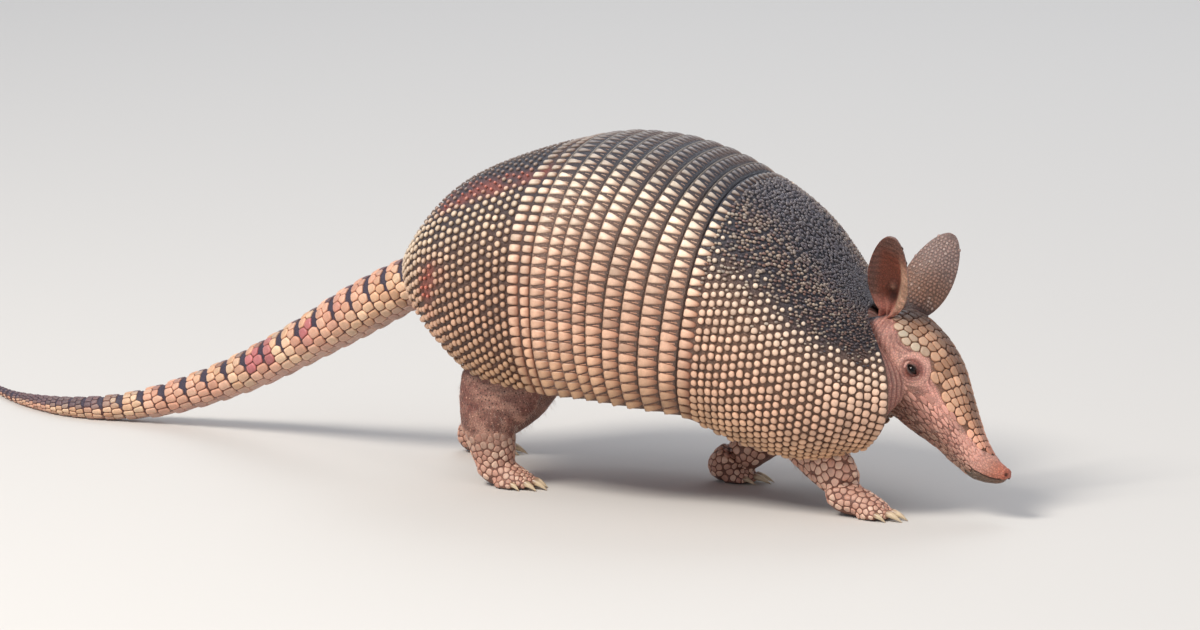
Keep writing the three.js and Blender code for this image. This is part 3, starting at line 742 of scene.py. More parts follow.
def plate(form, stations, shares, lift, tone, ranges):
    """A plate with thickness: outer and inner faces, and walls round all four edges."""
    u, s = np.meshgrid(stations, shares, indexing="ij")
    rows, columns = u.shape
    outer = SHELL.lifted(u, s, lift(u, s))
    thickness = RIM_DEPTH + (PLATE_DEPTH - RIM_DEPTH) * np.minimum(np.maximum(u, 0), 1)
    inner = SHELL.lifted(u, s, -thickness)
    colour = tone(u, s, outer)
    flat = flat_place(u, s, *ranges)
    size = rows * columns
    faces = grid_faces(rows, columns)
    under = grid_faces(rows, columns, turned=True, start=size)
    number = np.arange(size).reshape(rows, columns)
    walls = []
    for edge in (number[0], number[-1][::-1], number[:, 0][::-1], number[:, -1]):
        walls.append(np.stack([edge[:-1], edge[1:], edge[1:] + size, edge[:-1] + size], -1))
    form.add(np.stack([outer, inner]), np.stack([colour, colour * 0.7]), np.stack([flat, flat]),
             np.concatenate([faces, under, *walls]))


def shield_lift(u, share):
    """Ground of the two big shields: a little below the scutes' tops, with fine lumps."""
    points = shell_place(u, share)
    return -GROUND_DEPTH + 0.16 * noise(points, 2.2, 5) + 0.1 * noise(points, 1.3, 6)


def shield(name, u_range, rows, columns):
    form = Form()
    plate(form, np.linspace(*u_range, rows), np.linspace(0, 1, columns), shield_lift,
          ground_tone, SHELL_RANGES[name])
    form.piece(f"shell_{name}_ground", GROUND_HORN, [f"shell_{name}"])


def pelvic_pitch(u, share):
    return 3.5 + 1.4 * smooth(0.3, 1.6, u)


def scapular_pitch(u, share):
    return 4.75 - 0.5 * smooth(0.5, 0.25, flank(share)) - 0.3 * smooth(6.8, 8.4, u)


def pelvic_scutes():
    ranges = SHELL_RANGES["pelvic"]
    stations = stations_along(SHELL, (0.04, FIRST_BAND - 0.33), 0.22,
                              lambda u: 3.3 + 1.35 * smooth(0.3, 1.6, u))
    centres = rows_of_centres(SHELL, stations, (0.004, 0.996), pelvic_pitch)
    u, share = centres.T
    points = shell_place(u, share)
    side = flank(share)
    pitch = pelvic_pitch(u, share)
    top = smooth(0.36, 0.16, side + 0.04 * noise(points, 16, 7))
    sore = soreness(u, share, points)
    largest = pitch * (0.35 - 0.05 * smooth(0.8, 0.2, u) - 0.13 * top) * (1 - 0.45 * sore)
    largest *= 1 + 0.07 * RANDOM.normal(size=len(u))
    largest += pitch * 0.08 * smooth(0.86, 0.97, side)
    radii = cell_radii(SHELL, centres, 14, 0.5, largest)
    # scutes on the top of the rump take the dark slate: partly own colour, partly painted sky
    # reflection
    tone = mix(scute_tone(u, share, points) * RUMP_SHADE,
               mix(SLATE_AND_SKY_SHEEN, UMBER, 0.3) * 1.5, 0.82 * top)
    tone = mix(tone, SORE_RED * 1.25, 0.85 * sore)
    form = Form()
    raise_scutes(form, SHELL, centres, radii, 0.95 - 0.2 * top, tone, ranges)
    square_rows(form, FIRST_BAND - 0.325, FIRST_BAND - 0.18, ranges)
    square_rows(form, FIRST_BAND - 0.165, FIRST_BAND - 0.015, ranges)
    form.piece("shell_pelvic_scutes", SCUTE_HORN)


def rib_places(u, pitch, shift):
    """Shares of scutes set pitch mm apart along the rib at station u."""
    share = np.linspace(0, 1, 400)
    run = run_along(shell_place(np.full_like(share, u), share))
    count = int(round(run[-1] / pitch))
    return np.interp((np.arange(count) + 0.5 + shift) * run[-1] / count, run, share)


WEDGE_PITCH = 5.45
BAND_COLUMNS = 321
BAND_ROWS = np.array([0.02, 0.05, 0.1, 0.2, 0.4, 0.6, 0.8, 0.98])
WEDGE_ANGLES = 22
RIDGE_SHADE = np.array([0.72, 0.58, 0.53])
WEDGE_TIP = np.array([0.62, 0.46, 0.4])      # the front of a wedge fades to brown


def wedge_row(form, start, end, width, tip, ranges, ground, heights, shift=0.0,
              rear_share=0.42, reach=(0.0, 0.97), dark_top=0.85, toned=scute_tone):
    """A row of wedges across one band, wide end to the rear."""
    begin = start + (end - start) * reach[0]
    finish = start + (end - start) * reach[1]
    middle = begin + (finish - begin) * rear_share
    share = rib_places(middle, WEDGE_PITCH, shift)
    u = np.full_like(share, middle)
    centres = np.stack([u, share], -1)
    lengths = np.linalg.norm(shell_place(finish, share) - shell_place(begin, share), axis=-1)
    spacing = np.linalg.norm(np.gradient(shell_place(u, share), axis=0), axis=-1)
    low = smooth(0.45, 0.85, flank(share))
    slim = smooth(0.42, 0.12, flank(share) + 0.03 * RANDOM.normal(size=len(u)))
    rear = spacing / 2 * (width + 0.04 * low) * (1 - 0.35 * slim)
    rear = rear * (1 + 0.05 * RANDOM.normal(size=len(u)))
    front = spacing / 2 * (tip + 0.42 * low * (tip < width)) * (1 - 0.4 * slim)
    radii = wedge_radii(lengths * (1 - 0.22 * slim), rear, front, WEDGE_ANGLES, rear_share, 5.0)
    points = shell_place(u, share)
    top = smooth(0.38, 0.08, flank(share))
    sunlit = 1.14 - 0.17 * smooth(0.84, 1.0, flank(share))[:, None]
    # towards the top the wedges take the slate of the back, partly a painted sky reflection
    tone = mix(toned(u, share, points) * sunlit, SLATE_AND_SKY_SHEEN * 1.7, dark_top * top)
    surface = Surface(lambda a, b: SHELL.lifted(a, b, ground(a, b)))
    raise_scutes(form, surface, centres, radii, heights, tone, ranges, tilt=0.06,
                 tip_shade=WEDGE_TIP if tip < width else None)


def square_rows(form, start, end, ranges):
    wedge_row(form, start, end, 0.74, 0.66, ranges, shield_lift_flat, 0.95, rear_share=0.5,
              reach=(0.04, 0.94), dark_top=0.7)


def shield_lift_flat(u, share):
    return np.full(np.shape(u), -GROUND_DEPTH * 0.6)


def band(index, start, end):
    """One movable band: dark ground with a pale lip, big wedges and thin ridges between."""
    half = BAND_GAP / 2
    span = end - start

    def slope(u, share):
        return -0.35 - 1.25 * smooth(0.0, 1.15, (u - start) / span)

    def lift(u, share):
        return slope(u, share) + 0.55 * bump((u - start) / span - 0.02, 0.06)

    def tone(u, share, points):
        t = (u - start) / span
        dark = mix(ground_tone(u, share, points), BAND_GROUND, 0.7 * smooth(0.2, 0.5, flank(share)))
        # painted shade: the front of each band, tucked under the band ahead, is darkened
        dark = dark * (1 - 0.35 * smooth(0.6, 1.0, t))[..., None]
        pale = mix(FLANK_TAN * 0.8, CREAM * 0.62, smooth(0.6, 0.2, flank(share)))
        return mix(dark, pale, 0.75 * bump(t, 0.07))

    ranges = ((start, end), (0, 1))
    ground = Form()
    plate(ground, start + span * BAND_ROWS, np.linspace(0, 1, BAND_COLUMNS), lift, tone, ranges)
    ground.piece(f"shell_band_{index}_ground", GROUND_HORN, [f"band_{index}"])
    scutes = Form()
    wedge_row(scutes, start, end, 0.93, 0.14, ranges, slope, 0.8)
    wedge_row(scutes, start + half, end - half, 0.04, 0.13, ranges, slope, 0.3, shift=0.5,
              rear_share=0.5, reach=(0.25, 0.92), dark_top=0.8, toned=ridge_tone)
    scutes.piece(f"shell_band_{index}_scutes", SCUTE_HORN)


def ridge_tone(u, share, points):
    return scute_tone(u, share, points) * RIDGE_SHADE


def fine_share(u, share, points):
    """1 on the dark upper front of the shell, where the scutes are small and dense."""
    side = flank(share) + 0.05 * noise(points, 22, 8)
    return smooth(0.56, 0.3, side - 0.04 * smooth(7, 8.5, u)) * smooth(5.95, 6.35, u)


def grain_pitch(u, share):
    return 2.5 - 0.7 * smooth(6.6, 8.8, u)


def fine_scutes(taken, ranges, first):
    """Small pale and dark grains, in rows across the upper front of the shell."""
    stations = stations_along(SHELL, (first, NECK_OPENING - 0.02), 0.33,
                              lambda u: 0.92 * grain_pitch(u, 0))
    centres = rows_of_centres(SHELL, stations, (0.2, 0.8), grain_pitch, jitter=0.2)
    centres[:, 0] += RANDOM.normal(0, 0.018, len(centres))
    points = shell_place(*centres.T)
    free = [np.linalg.norm(taken - point, axis=1).min() > 2.6 for point in points]
    centres = centres[free & (fine_share(*centres.T, points) > 0.02)]
    centres = centres[centres[:, 0] < NECK_OPENING - 0.02]
    u, share = centres.T
    points = shell_place(u, share)
    size = grain_pitch(u, share) * (0.36 + 0.05 * RANDOM.normal(size=len(u)))
    theta = np.arange(8) * TURN / 8
    radii = np.maximum(size, 0.4)[:, None] * (0.78 + 0.42 * np.abs(np.sin(theta)) ** 2)[None]
    near = smooth(0.95, 0.4, fine_share(u, share, points))
    # the pale grains are painted highlights, standing in for small white glints
    pale = RANDOM.random(len(u)) < 0.55 + 0.35 * near - 0.4 * smooth(7.3, 8.6, u)
    tone = mix(SLATE_AND_SKY_SHEEN * 1.25, UMBER * 1.7, RANDOM.random(len(u)))
    tone = mix(tone, CREAM * 0.82, pale * RANDOM.uniform(0.2, 0.6 + 0.35 * near, len(u)))
    # the crest takes slate, partly a painted sky reflection
    tone = mix(tone, SLATE_AND_SKY_SHEEN * 1.7, 0.85 * smooth(0.26, 0.06, flank(share)))
    tone = tone * (1.1 - 0.3 * smooth(7.6, 8.8, u))[:, None]
    form = Form()
    raise_scutes(form, SHELL, centres, radii, 0.4 + 0.35 * pale, tone, ranges, profile=GRAIN)
    form.piece("shell_scapular_grains", SCUTE_HORN)


def scapular_scutes():
    ranges = SHELL_RANGES["scapular"]
    first = LAST_BAND_END + 0.02
    second = first + 0.23
    form = Form()
    wedge_row(form, first, second, 0.86, 0.3, ranges, shield_lift_flat, 0.85,
              reach=(0.0, 0.94))
    stations = stations_along(SHELL, (second, NECK_OPENING - 0.02), 0.2,
                              lambda u: 4.6 - 0.5 * smooth(7.2, 8.8, u))
    centres = rows_of_centres(SHELL, stations, (0.004, 0.996), scapular_pitch)
    fine = fine_share(*centres.T, shell_place(*centres.T))
    centres = centres[fine < RANDOM.uniform(0.3, 0.9, len(centres))]
    u, share = centres.T
    points = shell_place(u, share)
    side = flank(share)
    pitch = scapular_pitch(u, share)
    top = fine_share(u, share, points)
    rim = np.maximum(smooth(0.72, 0.92, side), smooth(7.7, 8.7, u) * smooth(0.45, 0.65, side))
    largest = pitch * (0.4 - 0.2 * top + 0.14 * rim)
    largest *= 1 + 0.06 * RANDOM.normal(size=len(u))
    radii = cell_radii(SHELL, centres, 14, 0.42, largest)
    sunlit = 1.06 + 0.14 * smooth(0.5, 0.75, flank(share))
    tone = scute_tone(u, share, points) * sunlit[:, None]
    # some top scutes take dark slate, partly a painted sky reflection
    tone = mix(tone, SLATE_AND_SKY_SHEEN * 2.2, 0.3 * top * RANDOM.random(len(u)))
    raise_scutes(form, SHELL, centres, radii, 0.9 - 0.2 * top - 0.2 * rim, tone, ranges)
    form.piece("shell_scapular_scutes", SCUTE_HORN)
    fine_scutes(points, ranges, second - 0.06)


def make_shell():
    shield("pelvic", (0.0, FIRST_BAND - BAND_GAP / 2), 100, 230)
    pelvic_scutes()
    start = FIRST_BAND
    for index, pitch in enumerate(BAND_PITCHES, 1):
        band(index, start, start + pitch)
        start += pitch
    shield("scapular", (start + BAND_GAP / 2, NECK_OPENING), 104, 230)
    scapular_scutes()


# ---------------------------------------------------------------- skin: tubes and caps

SEAM = -math.pi / 2            # tubes start and end their flat map along the underside


def closed_tube(form, surface, stations, columns, tint, relief=None, floor=None):
    """Closed skin over a tube, from its first station to its last. tint is a colour, or a
    function of stations, angles and points, as relief is."""
    u, angle = np.meshgrid(stations, SEAM + np.arange(columns) * TURN / columns, indexing="ij")
    points, _, _, normal = surface.frame(u, angle)
    if relief is not None:
        points = points + normal * relief(u, angle, points)[..., None]
    if floor is not None:
        points[..., 2] = np.maximum(points[..., 2], floor)
    tone = tint(u, angle, points) if callable(tint) else np.broadcast_to(tint, points.shape)
    add_net(form, points, tone, surface.facing < 0)


def paced(pieces):
    """Stations from pieces of (from, to, count), the end of each being the next one's start."""
    parts = [np.linspace(a, b, n, endpoint=False) for a, b, n in pieces]
    return np.concatenate([*parts, [pieces[-1][1]]])


# ---------------------------------------------------------------- head

PINK = rgb(210, 156, 138)
CHEEK_PINK = rgb(220, 160, 144)
# Red of the skin, also used as painted shade in the creases of folds and under the neck.
SKIN_RED_AND_FOLD_SHADE = rgb(128, 70, 62)
CROWN_DARK = rgb(58, 52, 62)
JAW_BROWN = rgb(140, 108, 92)
# Dark brown of the cheek's cracks, also used as painted shade in the mouth line and the nostrils.
CRACK_AND_HOLLOW_SHADE = rgb(84, 50, 42)
CHIN_SHADE = rgb(98, 82, 66)
LID_BROWN = rgb(150, 96, 84)
LID_RED = rgb(110, 66, 56)
LID_EDGE = rgb(34, 22, 20)
EYE_CORNER = rgb(112, 50, 42)
PUPIL = rgb(10, 7, 7)
IRIS = rgb(52, 30, 22)
EYE_WHITE = rgb(92, 66, 58)
SNOUT_RED = rgb(180, 106, 82)
NOSE_RED = SNOUT_RED * (0.95, 0.72, 0.66)
SNOUT_SCALE = rgb(214, 156, 130)
WORN_SCALE = rgb(156, 112, 84)
CROWN_SCALE = rgb(76, 60, 58)
CHEEK_PALE = rgb(222, 178, 158)
SHIELD_GROUND = rgb(134, 94, 74)
HEAD_TAN = rgb(200, 156, 126)
HEAD_CREAM = rgb(240, 224, 198)
HEAD_RANGES = ((0.0, HEAD_LAST + 1.0), (SEAM, SEAM + TURN))

# Lower edge of the scale shield: station, height round the head in degrees above its side.
SHIELD_EDGE = np.array([[2.5, 100], [2.65, 72], [3.0, 50], [3.55, 31], [4.2, 37], [4.7, 44],
                        [5.33, 31], [6.3, 28], [7.5, 38], [8.8, 55], [9.8, 100]])
MOUTH_LINE = np.array([[8.4, -11], [8.9, -15], [10.2, -24], [11.2, -31], [12.0, -38]])
EYE_STATION = 4.6
EYE_RISE = 23
LID_REACH = 9.5
LID_WIDE = 3.1                 # half the length and height of the opening between the lids
LID_TALL = 1.4
LID_SQUARE = 1.65              # 2 would make the opening an ellipse
LID_STEPS = np.array([-0.12, -0.05, 0.15, 0.4, 0.7, 1.0, 1.35, 1.7, 2.1, 2.5, 3.0, 3.5, 4.1, 4.8,
                      5.5, 6.2])
LID_CLEAR = [0.02, 0.3, 0.55, 0.72]     # height of the lids' first steps over the eyeball
LID_SIGHT = 15                 # distance from which the head under the lids is looked for
SHIELD_STRETCH = 1.3           # a scale's length over its width, on the shield and the cheek
CHEEK_STRETCH = 2.9
CHEEK_TOP = np.array([[4.3, -18], [5.2, 2], [6.2, 20], [7.5, 32], [8.8, 44]])
NOSTRIL = np.array([73.2, 2.3, 23.4])
FOLD_PITCH = 2.9


def head_rise(angle):
    """Degrees above the side of the head: 90 on top, 0 at the widest line, -90 underneath."""
    return 90 - np.abs(np.degrees(angle) - 90)


def shield_inside(u, angle):
    """Degrees inside the lower edge of the scale shield; negative outside."""
    edge = np.interp(u, SHIELD_EDGE[:, 0], SHIELD_EDGE[:, 1])
    return head_rise(angle) - np.where(u < SHIELD_EDGE[0, 0], 100, edge)


def eye_axes(name):
    """Centre of an eye, the way it looks, and axes forward and up across it."""
    forward, out, up = EYE_PLACE
    centre = from_head(forward, out * SIDES[name], up)
    angle = math.radians(EYE_RISE if name == "left" else 180 - EYE_RISE)
    _, along, _, normal = HEAD.frame(np.array(EYE_STATION), np.array(angle))
    forward = unit(along - normal * (along @ normal))
    upward = np.cross(forward, normal) * -SIDES[name]
    return centre, normal, forward, upward


def eye_distance(name, points):
    centre, looks, forward, upward = eye_axes(name)
    offset = points - centre
    return np.hypot(offset @ forward, offset @ upward) + 40 * smooth(4, -4, offset @ looks)


def nearest_eye(points):
    return np.minimum(eye_distance("right", points), eye_distance("left", points))


def mouth_gap(u, angle):
    """Distance in mm above the mouth line."""
    line = np.interp(u, MOUTH_LINE[:, 0], MOUTH_LINE[:, 1])
    radius = row_at(HEAD_TABLE, np.clip(u, 0, HEAD_LAST))[..., 3]
    return np.radians(head_rise(angle) - line) * radius


def neck_folds(points):
    """Waves from -1 to 1 of the folds of skin behind the cheek."""
    return np.sin(to_head(points)[..., 0] * TURN / FOLD_PITCH + 4.2 * noise(points, 15, 9))


def brow_lines(u, angle, points):
    """1 in the two creases that follow the shield's edge over the eye."""
    below = shield_inside(u, angle) + 2 * noise(points, 6, 27)
    lines = np.maximum(bump(below + 4, 2.2), 0.7 * bump(below + 11, 1.6))
    return lines * smooth(3.0, 3.5, u) * smooth(6.0, 5.2, u)


def head_relief(u, angle, points):
    place = to_head(points)
    rise = head_rise(angle)
    inside = smooth(-4, 4, shield_inside(u, angle))
    lift = -0.2 - 0.5 * inside
    neck = smooth(0.8, 1.6, u) * smooth(4.1, 3.1, u) * (1 - inside)
    neck = neck * (0.75 + 0.5 * noise(points, 9, 11))
    lift += neck * (0.5 * neck_folds(points) - 0.3)
    lift -= 0.35 * brow_lines(u, angle, points)
    cheek = (1 - inside) * smooth(3.6, 4.6, u)
    lift += cheek * 0.2 * rough(place * (1, 0.6, 1), 3.0, 12)
    lift += cheek * smooth(9.6, 8.2, u) * smooth(5, -15, rise) * 0.3 * noise(place, 2.4, 15)
    gap = mouth_gap(u, angle)
    mouth = smooth(8.4, 8.9, u)
    lift -= 0.9 * mouth * bump(gap, 0.32) * smooth(12.0, 11.7, u)
    lift -= mouth * smooth(0.1, -0.7, gap) * (0.35 + 0.8 * smooth(10.9, 11.5, u))
    wrinkles = np.sin(np.radians(rise) * 17 + 2 * noise(points, 6, 16))
    lift += 0.1 * wrinkles * smooth(8.0, 9.5, u) * smooth(11.2, 10.6, u)
    lift -= 0.35 * bump(u - 11.05, 0.1) * smooth(-0.5, 0.6, gap)
    for name, side in SIDES.items():
        hole = np.linalg.norm((place - NOSTRIL * (1, side, 1)) * (1, 1, 1.25), axis=-1)
        lift -= 1.5 * bump(hole, 1.05) - 0.25 * bump(hole - 1.6, 0.5)
        away = eye_distance(name, points)
        lift -= 5.4 * smooth(5.6, 4.2, away)
        lift -= 0.35 * bump(away, LID_REACH * 0.8)
    return lift


def head_tone(u, angle, points):
    place = to_head(points)
    rise = head_rise(angle)
    inside = smooth(-4, 4, shield_inside(u, angle))
    blotch = noise(points, 7, 20)
    tone = mix(PINK, CHEEK_PINK, smooth(-0.5, 0.5, blotch))
    tone = tone * (0.94 + 0.16 * smooth(3.8, 4.8, u) - 0.1 * smooth(6.5, 8.5, u))[..., None]
    tone = mix(tone, tone * 0.66, smooth(0.0, 0.8, rough(points, 3.2, 21)))
    jaw = smooth(-8, -38, rise + 6 * blotch) * smooth(2.5, 5, u)
    tone = mix(tone, JAW_BROWN, 0.8 * jaw)
    lower = (1 - inside) * smooth(4.4, 5.4, u) * smooth(9.0, 8.2, u)
    tone = mix(tone, CRACK_AND_HOLLOW_SHADE * 1.4, 0.66 * lower * smooth(30, 5, rise + 12 * blotch))
    tone = mix(tone, LID_BROWN, 0.35 * smooth(8.5, 4, nearest_eye(points) + 2.5 * blotch))
    neck = smooth(4.1, 3.1, u) * (1 - inside)
    # the neck's own red, with painted shade in the troughs of its folds
    tone = mix(tone, SKIN_RED_AND_FOLD_SHADE, neck * (0.26 + 0.36 * smooth(0.2, -0.9, neck_folds(points))))
    # painted shade under the neck
    tone = mix(tone, SKIN_RED_AND_FOLD_SHADE * 0.55, 0.8 * neck * smooth(-25, -50, rise))
    tone = mix(tone, SHIELD_GROUND, inside)
    # painted shade in the two brow creases over the eye
    tone = mix(tone, SKIN_RED_AND_FOLD_SHADE * 0.8, 0.85 * brow_lines(u, angle, points))
    crown = smooth(8.5, 3.0, place[..., 0]) * smooth(50, 72, rise)
    tone = mix(tone, CROWN_DARK, np.clip(crown + 0.6 * smooth(70, 88, rise) * inside, 0, 1))
    tone = tone * (1 - 0.1 * smooth(7.5, 9.5, u))[..., None]
    tone = mix(tone, SNOUT_RED, smooth(8.8, 10.8, u + 0.3 * blotch) * 0.9)
    tone = mix(tone, NOSE_RED, bump(u - 11.6, 0.5) * 0.55)
    gap = mouth_gap(u, angle)
    mouth = smooth(8.4, 8.9, u)
    # painted shade on the jaw below the mouth line, under the overhanging snout
    tone = mix(tone, CHIN_SHADE, mouth * smooth(0.0, -0.6, gap) * 0.85)
    # painted shade in the crease of the mouth line
    tone = mix(tone, CRACK_AND_HOLLOW_SHADE * 0.35, mouth * bump(gap, 0.5))
    # painted shade in the nostrils
    for side in SIDES.values():
        hole = np.linalg.norm(place - NOSTRIL * (1, side, 1), axis=-1)
        tone = mix(tone, CRACK_AND_HOLLOW_SHADE * 0.25, bump(hole, 1.0))
    return tone


def head_skin(form):
    stations = paced([(0, 1.6, 14), (1.6, 4.0, 40), (4.0, 5.4, 34), (5.4, 9.0, 58),
                      (9.0, 11.0, 34)])
    nose = HEAD_LAST + np.sin(np.linspace(0, math.pi / 2, 16)[1:]) * 0.999
    closed_tube(form, HEAD, np.concatenate([stations, nose]), 200, head_tone, head_relief)


def eye_patch(name):
    """Rough net of the head round an eye, to seat the lids on."""
    size, reach = 50, 0.9
    middle = (math.pi if name == "right" else 0) + SIDES[name] * math.radians(EYE_RISE)
    u, angle = np.meshgrid(np.linspace(3.3, 5.9, size),
                           middle + np.linspace(-reach, reach, size), indexing="ij")
    corners = [Vector(point) for point in HEAD.place(u, angle).reshape(-1, 3)]
    return BVHTree.FromPolygons(corners, grid_faces(size, size).tolist())


def lids(form, name):
    """Puffy lids round an eye: a ring that hugs the eyeball inside and meets the head outside."""
    centre, looks, forward, upward = eye_axes(name)
    patch = eye_patch(name)
    theta = np.arange(64) * TURN / 64
    rim = (np.abs(np.cos(theta) / LID_WIDE) ** LID_SQUARE
           + np.abs(np.sin(theta) / LID_TALL) ** LID_SQUARE) ** (-1 / LID_SQUARE)
    below = np.sin(theta) < 0
    last = LID_STEPS[-1]
    points, tints = [], []
    for number, step in enumerate(LID_STEPS):
        out = rim + step + (LID_REACH - rim - last) * max(step, 0) / last
        ball = EYE_RADIUS + LID_CLEAR[min(number, len(LID_CLEAR) - 1)]
        height = np.sqrt(np.maximum(ball ** 2 - out ** 2, 0.2))
        place = centre + np.outer(np.cos(theta) * out, forward) \
            + np.outer(np.sin(theta) * out, upward)
        hits = [patch.ray_cast(Vector(start + looks * LID_SIGHT), Vector(-looks))
                for start in place]
        level = np.array([LID_SIGHT - hit[3] if hit[0] is not None else 3.0 for hit in hits])
        share = smooth(0.5, 3.4, step)
        wave = 0.45 * math.cos(max(step - 0.9, 0) * TURN / 1.3) * math.exp(-step / 4.2)
        wave = wave * (step > 0.6) * np.clip(0.8 + 1.8 * noise(place, 4.0, 30), 0, 1.6)
        puff = 0.55 * math.exp(-((step - 1.6) / 1.3) ** 2) * (1 + 0.5 * below)
        z = height * (1 - share) + level * share + wave + puff - 0.55 * smooth(5.0, 6.2, step)
        points.append(place + np.outer(z, looks))
        tone = mix(LID_EDGE, LID_RED, smooth(0.2, 1.0, step))
        tone = mix(tone, LID_BROWN, smooth(0.8, 1.8, step))
        tone = mix(tone, CHEEK_PINK, smooth(2.0, 4.6, step))
        pouch = bump(step - 2.4, 0.8) * smooth(0.1, -0.7, np.sin(theta))
        tone = mix(tone, SKIN_RED_AND_FOLD_SHADE, 0.75 * pouch)
        corner = bump(step - 0.6, 0.8) * smooth(0.5, 1.0, np.cos(theta))
        tone = mix(tone, EYE_CORNER, 0.6 * corner)
        # painted shade in the troughs of the lid folds
        tints.append(mix(tone, SKIN_RED_AND_FOLD_SHADE * 0.9, 0.6 * smooth(0.0, -0.28, wave)))
    form.add(np.array(points), np.array(tints),
             quads=grid_faces(len(LID_STEPS), len(theta), closed=True, turned=SIDES[name] < 0))


def eyeball(name):
    """Round glossy eye with a slightly raised cornea."""
    centre, looks, forward, upward = eye_axes(name)
    rows, columns = 36, 48
    tip, angle = np.meshgrid(np.linspace(0, math.pi, rows), np.arange(columns) * TURN / columns,
                             indexing="ij")
    across = np.stack([np.cos(angle), np.sin(angle)], -1)
    radius = EYE_RADIUS + 0.12 * bump(tip, 0.6)
    points = (centre + (radius * np.cos(tip))[..., None] * looks
              + (radius * np.sin(tip))[..., None] * (across @ np.array([forward, upward])))
    tone = mix(PUPIL, IRIS, bump(tip - 0.5, 0.16) * 0.8)
    tone = mix(tone, EYE_WHITE, smooth(0.75, 1.1, tip))
    form = Form()
    form.add(points, tone, 0.5 + 0.48 * (tip / math.pi)[..., None] * across,
             grid_faces(rows, columns, closed=True, turned=SIDES[name] < 0))
    form.piece(f"eyeball_{name}", EYE_GLOSS, [f"eye_{name}"])


def head_pitch(u, angle):
    return 4.1 - 1.5 * smooth(5.2, 9.2, u) - 0.4 * smooth(3.4, 2.7, u)


def clear_of_eyes(centres, surface, reach):
    return centres[nearest_eye(surface.place(*centres.T)) > reach]


def head_scales(form):
    """Close-set scales of the shield over the crown, forehead and snout."""
    stations = stations_along(HEAD, (2.62, 9.3), math.pi / 2,
                              lambda u: head_pitch(u, 0) * SHIELD_STRETCH)
    centres = rows_of_centres(HEAD, stations, (math.radians(15), math.radians(165)), head_pitch,
                              jitter=0.2)
    centres[:, 0] += RANDOM.normal(0, 0.03, len(centres))
    centres = clear_of_eyes(centres[shield_inside(*centres.T) > 1], HEAD, 6.3)
    u, angle = centres.T
    points = HEAD.place(u, angle)
    rise = head_rise(angle)
    pitch = head_pitch(u, angle)
    edge = smooth(14, 0, shield_inside(u, angle))
    radii = cell_radii(HEAD, centres, 18, 0.24, pitch * (0.72 - 0.14 * edge), 10.0,
                       stretch=SHIELD_STRETCH)
    tone = mix(HEAD_TAN, SNOUT_SCALE, smooth(6.2, 8.8, u))
    tone = mix(tone, WORN_SCALE, 0.75 * smooth(-0.2, 0.7, noise(points, 9, 24)))
    cream = smooth(4.9, 4.3, u) * smooth(2.9, 3.2, u) * smooth(58, 42, rise)
    tone = mix(tone, HEAD_CREAM, 0.85 * cream * RANDOM.uniform(0.4, 1.0, len(u)))
    dark = smooth(3.7, 2.8, u) * smooth(45, 66, rise) + 0.5 * smooth(66, 84, rise)
    tone = mix(tone, CROWN_SCALE, np.clip(dark, 0, 0.85))
    sunlit = 0.74 + 0.3 * smooth(4.2, 6.0, u) + 0.22 * smooth(6.6, 8.0, u)
    varied = 1 + 0.1 * RANDOM.normal(size=len(u)) + 0.15 * noise(points, 6, 26)
    tone = tone * (sunlit * varied)[:, None]
    tone = mix(tone, SNOUT_RED * 1.15, 0.5 * smooth(8.2, 9.4, u))
    raise_scutes(form, HEAD, centres, radii, 0.42 - 0.2 * smooth(6, 9.2, u), tone, HEAD_RANGES,
                 profile=SOFT_TILE, tilt=0.03)


def cheek_pitch(u, angle):
    return 2.2 - 0.7 * smooth(5.5, 8.5, u)


def cheek_scales(form):
    """Long narrow ridges with cracks between them on the cheek and beside the snout."""
    stations = stations_along(HEAD, (4.3, 9.0), 0.0,
                              lambda u: 0.85 * CHEEK_STRETCH * cheek_pitch(u, 0))
    centres = rows_of_centres(HEAD, stations, (math.radians(-75), math.radians(255)),
                              cheek_pitch, jitter=0.3)
    centres[:, 0] += RANDOM.normal(0, 0.12, len(centres))
    u, angle = centres.T
    rise = head_rise(angle) + 5 * RANDOM.normal(size=len(u))
    wanted = (rise < np.interp(u, *CHEEK_TOP.T)) & (rise > -62)
    centres = centres[wanted & (RANDOM.random(len(u)) < 0.95)]
    centres = clear_of_eyes(centres, HEAD, 7.8)
    u, angle = centres.T
    points = HEAD.place(u, angle)
    pitch = cheek_pitch(u, angle)
    radii = cell_radii(HEAD, centres, 22, 0.3, pitch * 0.62, 9.0, stretch=CHEEK_STRETCH)
    radii = radii * RANDOM.uniform(0.9, 1.05, radii.shape)
    tone = mix(CHEEK_PINK * 1.04, JAW_BROWN * 1.1, smooth(8, -34, head_rise(angle)))
    tone = tone * (1 - 0.12 * smooth(7.0, 8.5, u))[:, None]
    tone = mix(tone, CHEEK_PALE, 0.3 * RANDOM.random(len(u)))
    dark = smooth(4.6, 5.6, u) * smooth(8.6, 7.4, u) * smooth(-0.5, 0.3, noise(points, 5, 25))
    tone = mix(tone, LID_BROWN * 0.9, 0.5 * dark)
    raise_scutes(form, HEAD, centres, radii, 0.26, tone, HEAD_RANGES, profile=SOFT_TILE)


# ---------------------------------------------------------------- ears

EAR_INSIDE = rgb(132, 74, 56)
EAR_HOLLOW_SHADE = rgb(66, 28, 20)
EAR_RIM = rgb(118, 88, 78)
EAR_LOBE = rgb(192, 152, 128)
EAR_ROOT_PINK = rgb(192, 128, 112)
EAR_BACK = rgb(150, 124, 116)
EAR_BACK_LOW = rgb(142, 104, 86)
EAR_WHITE = rgb(226, 206, 196)


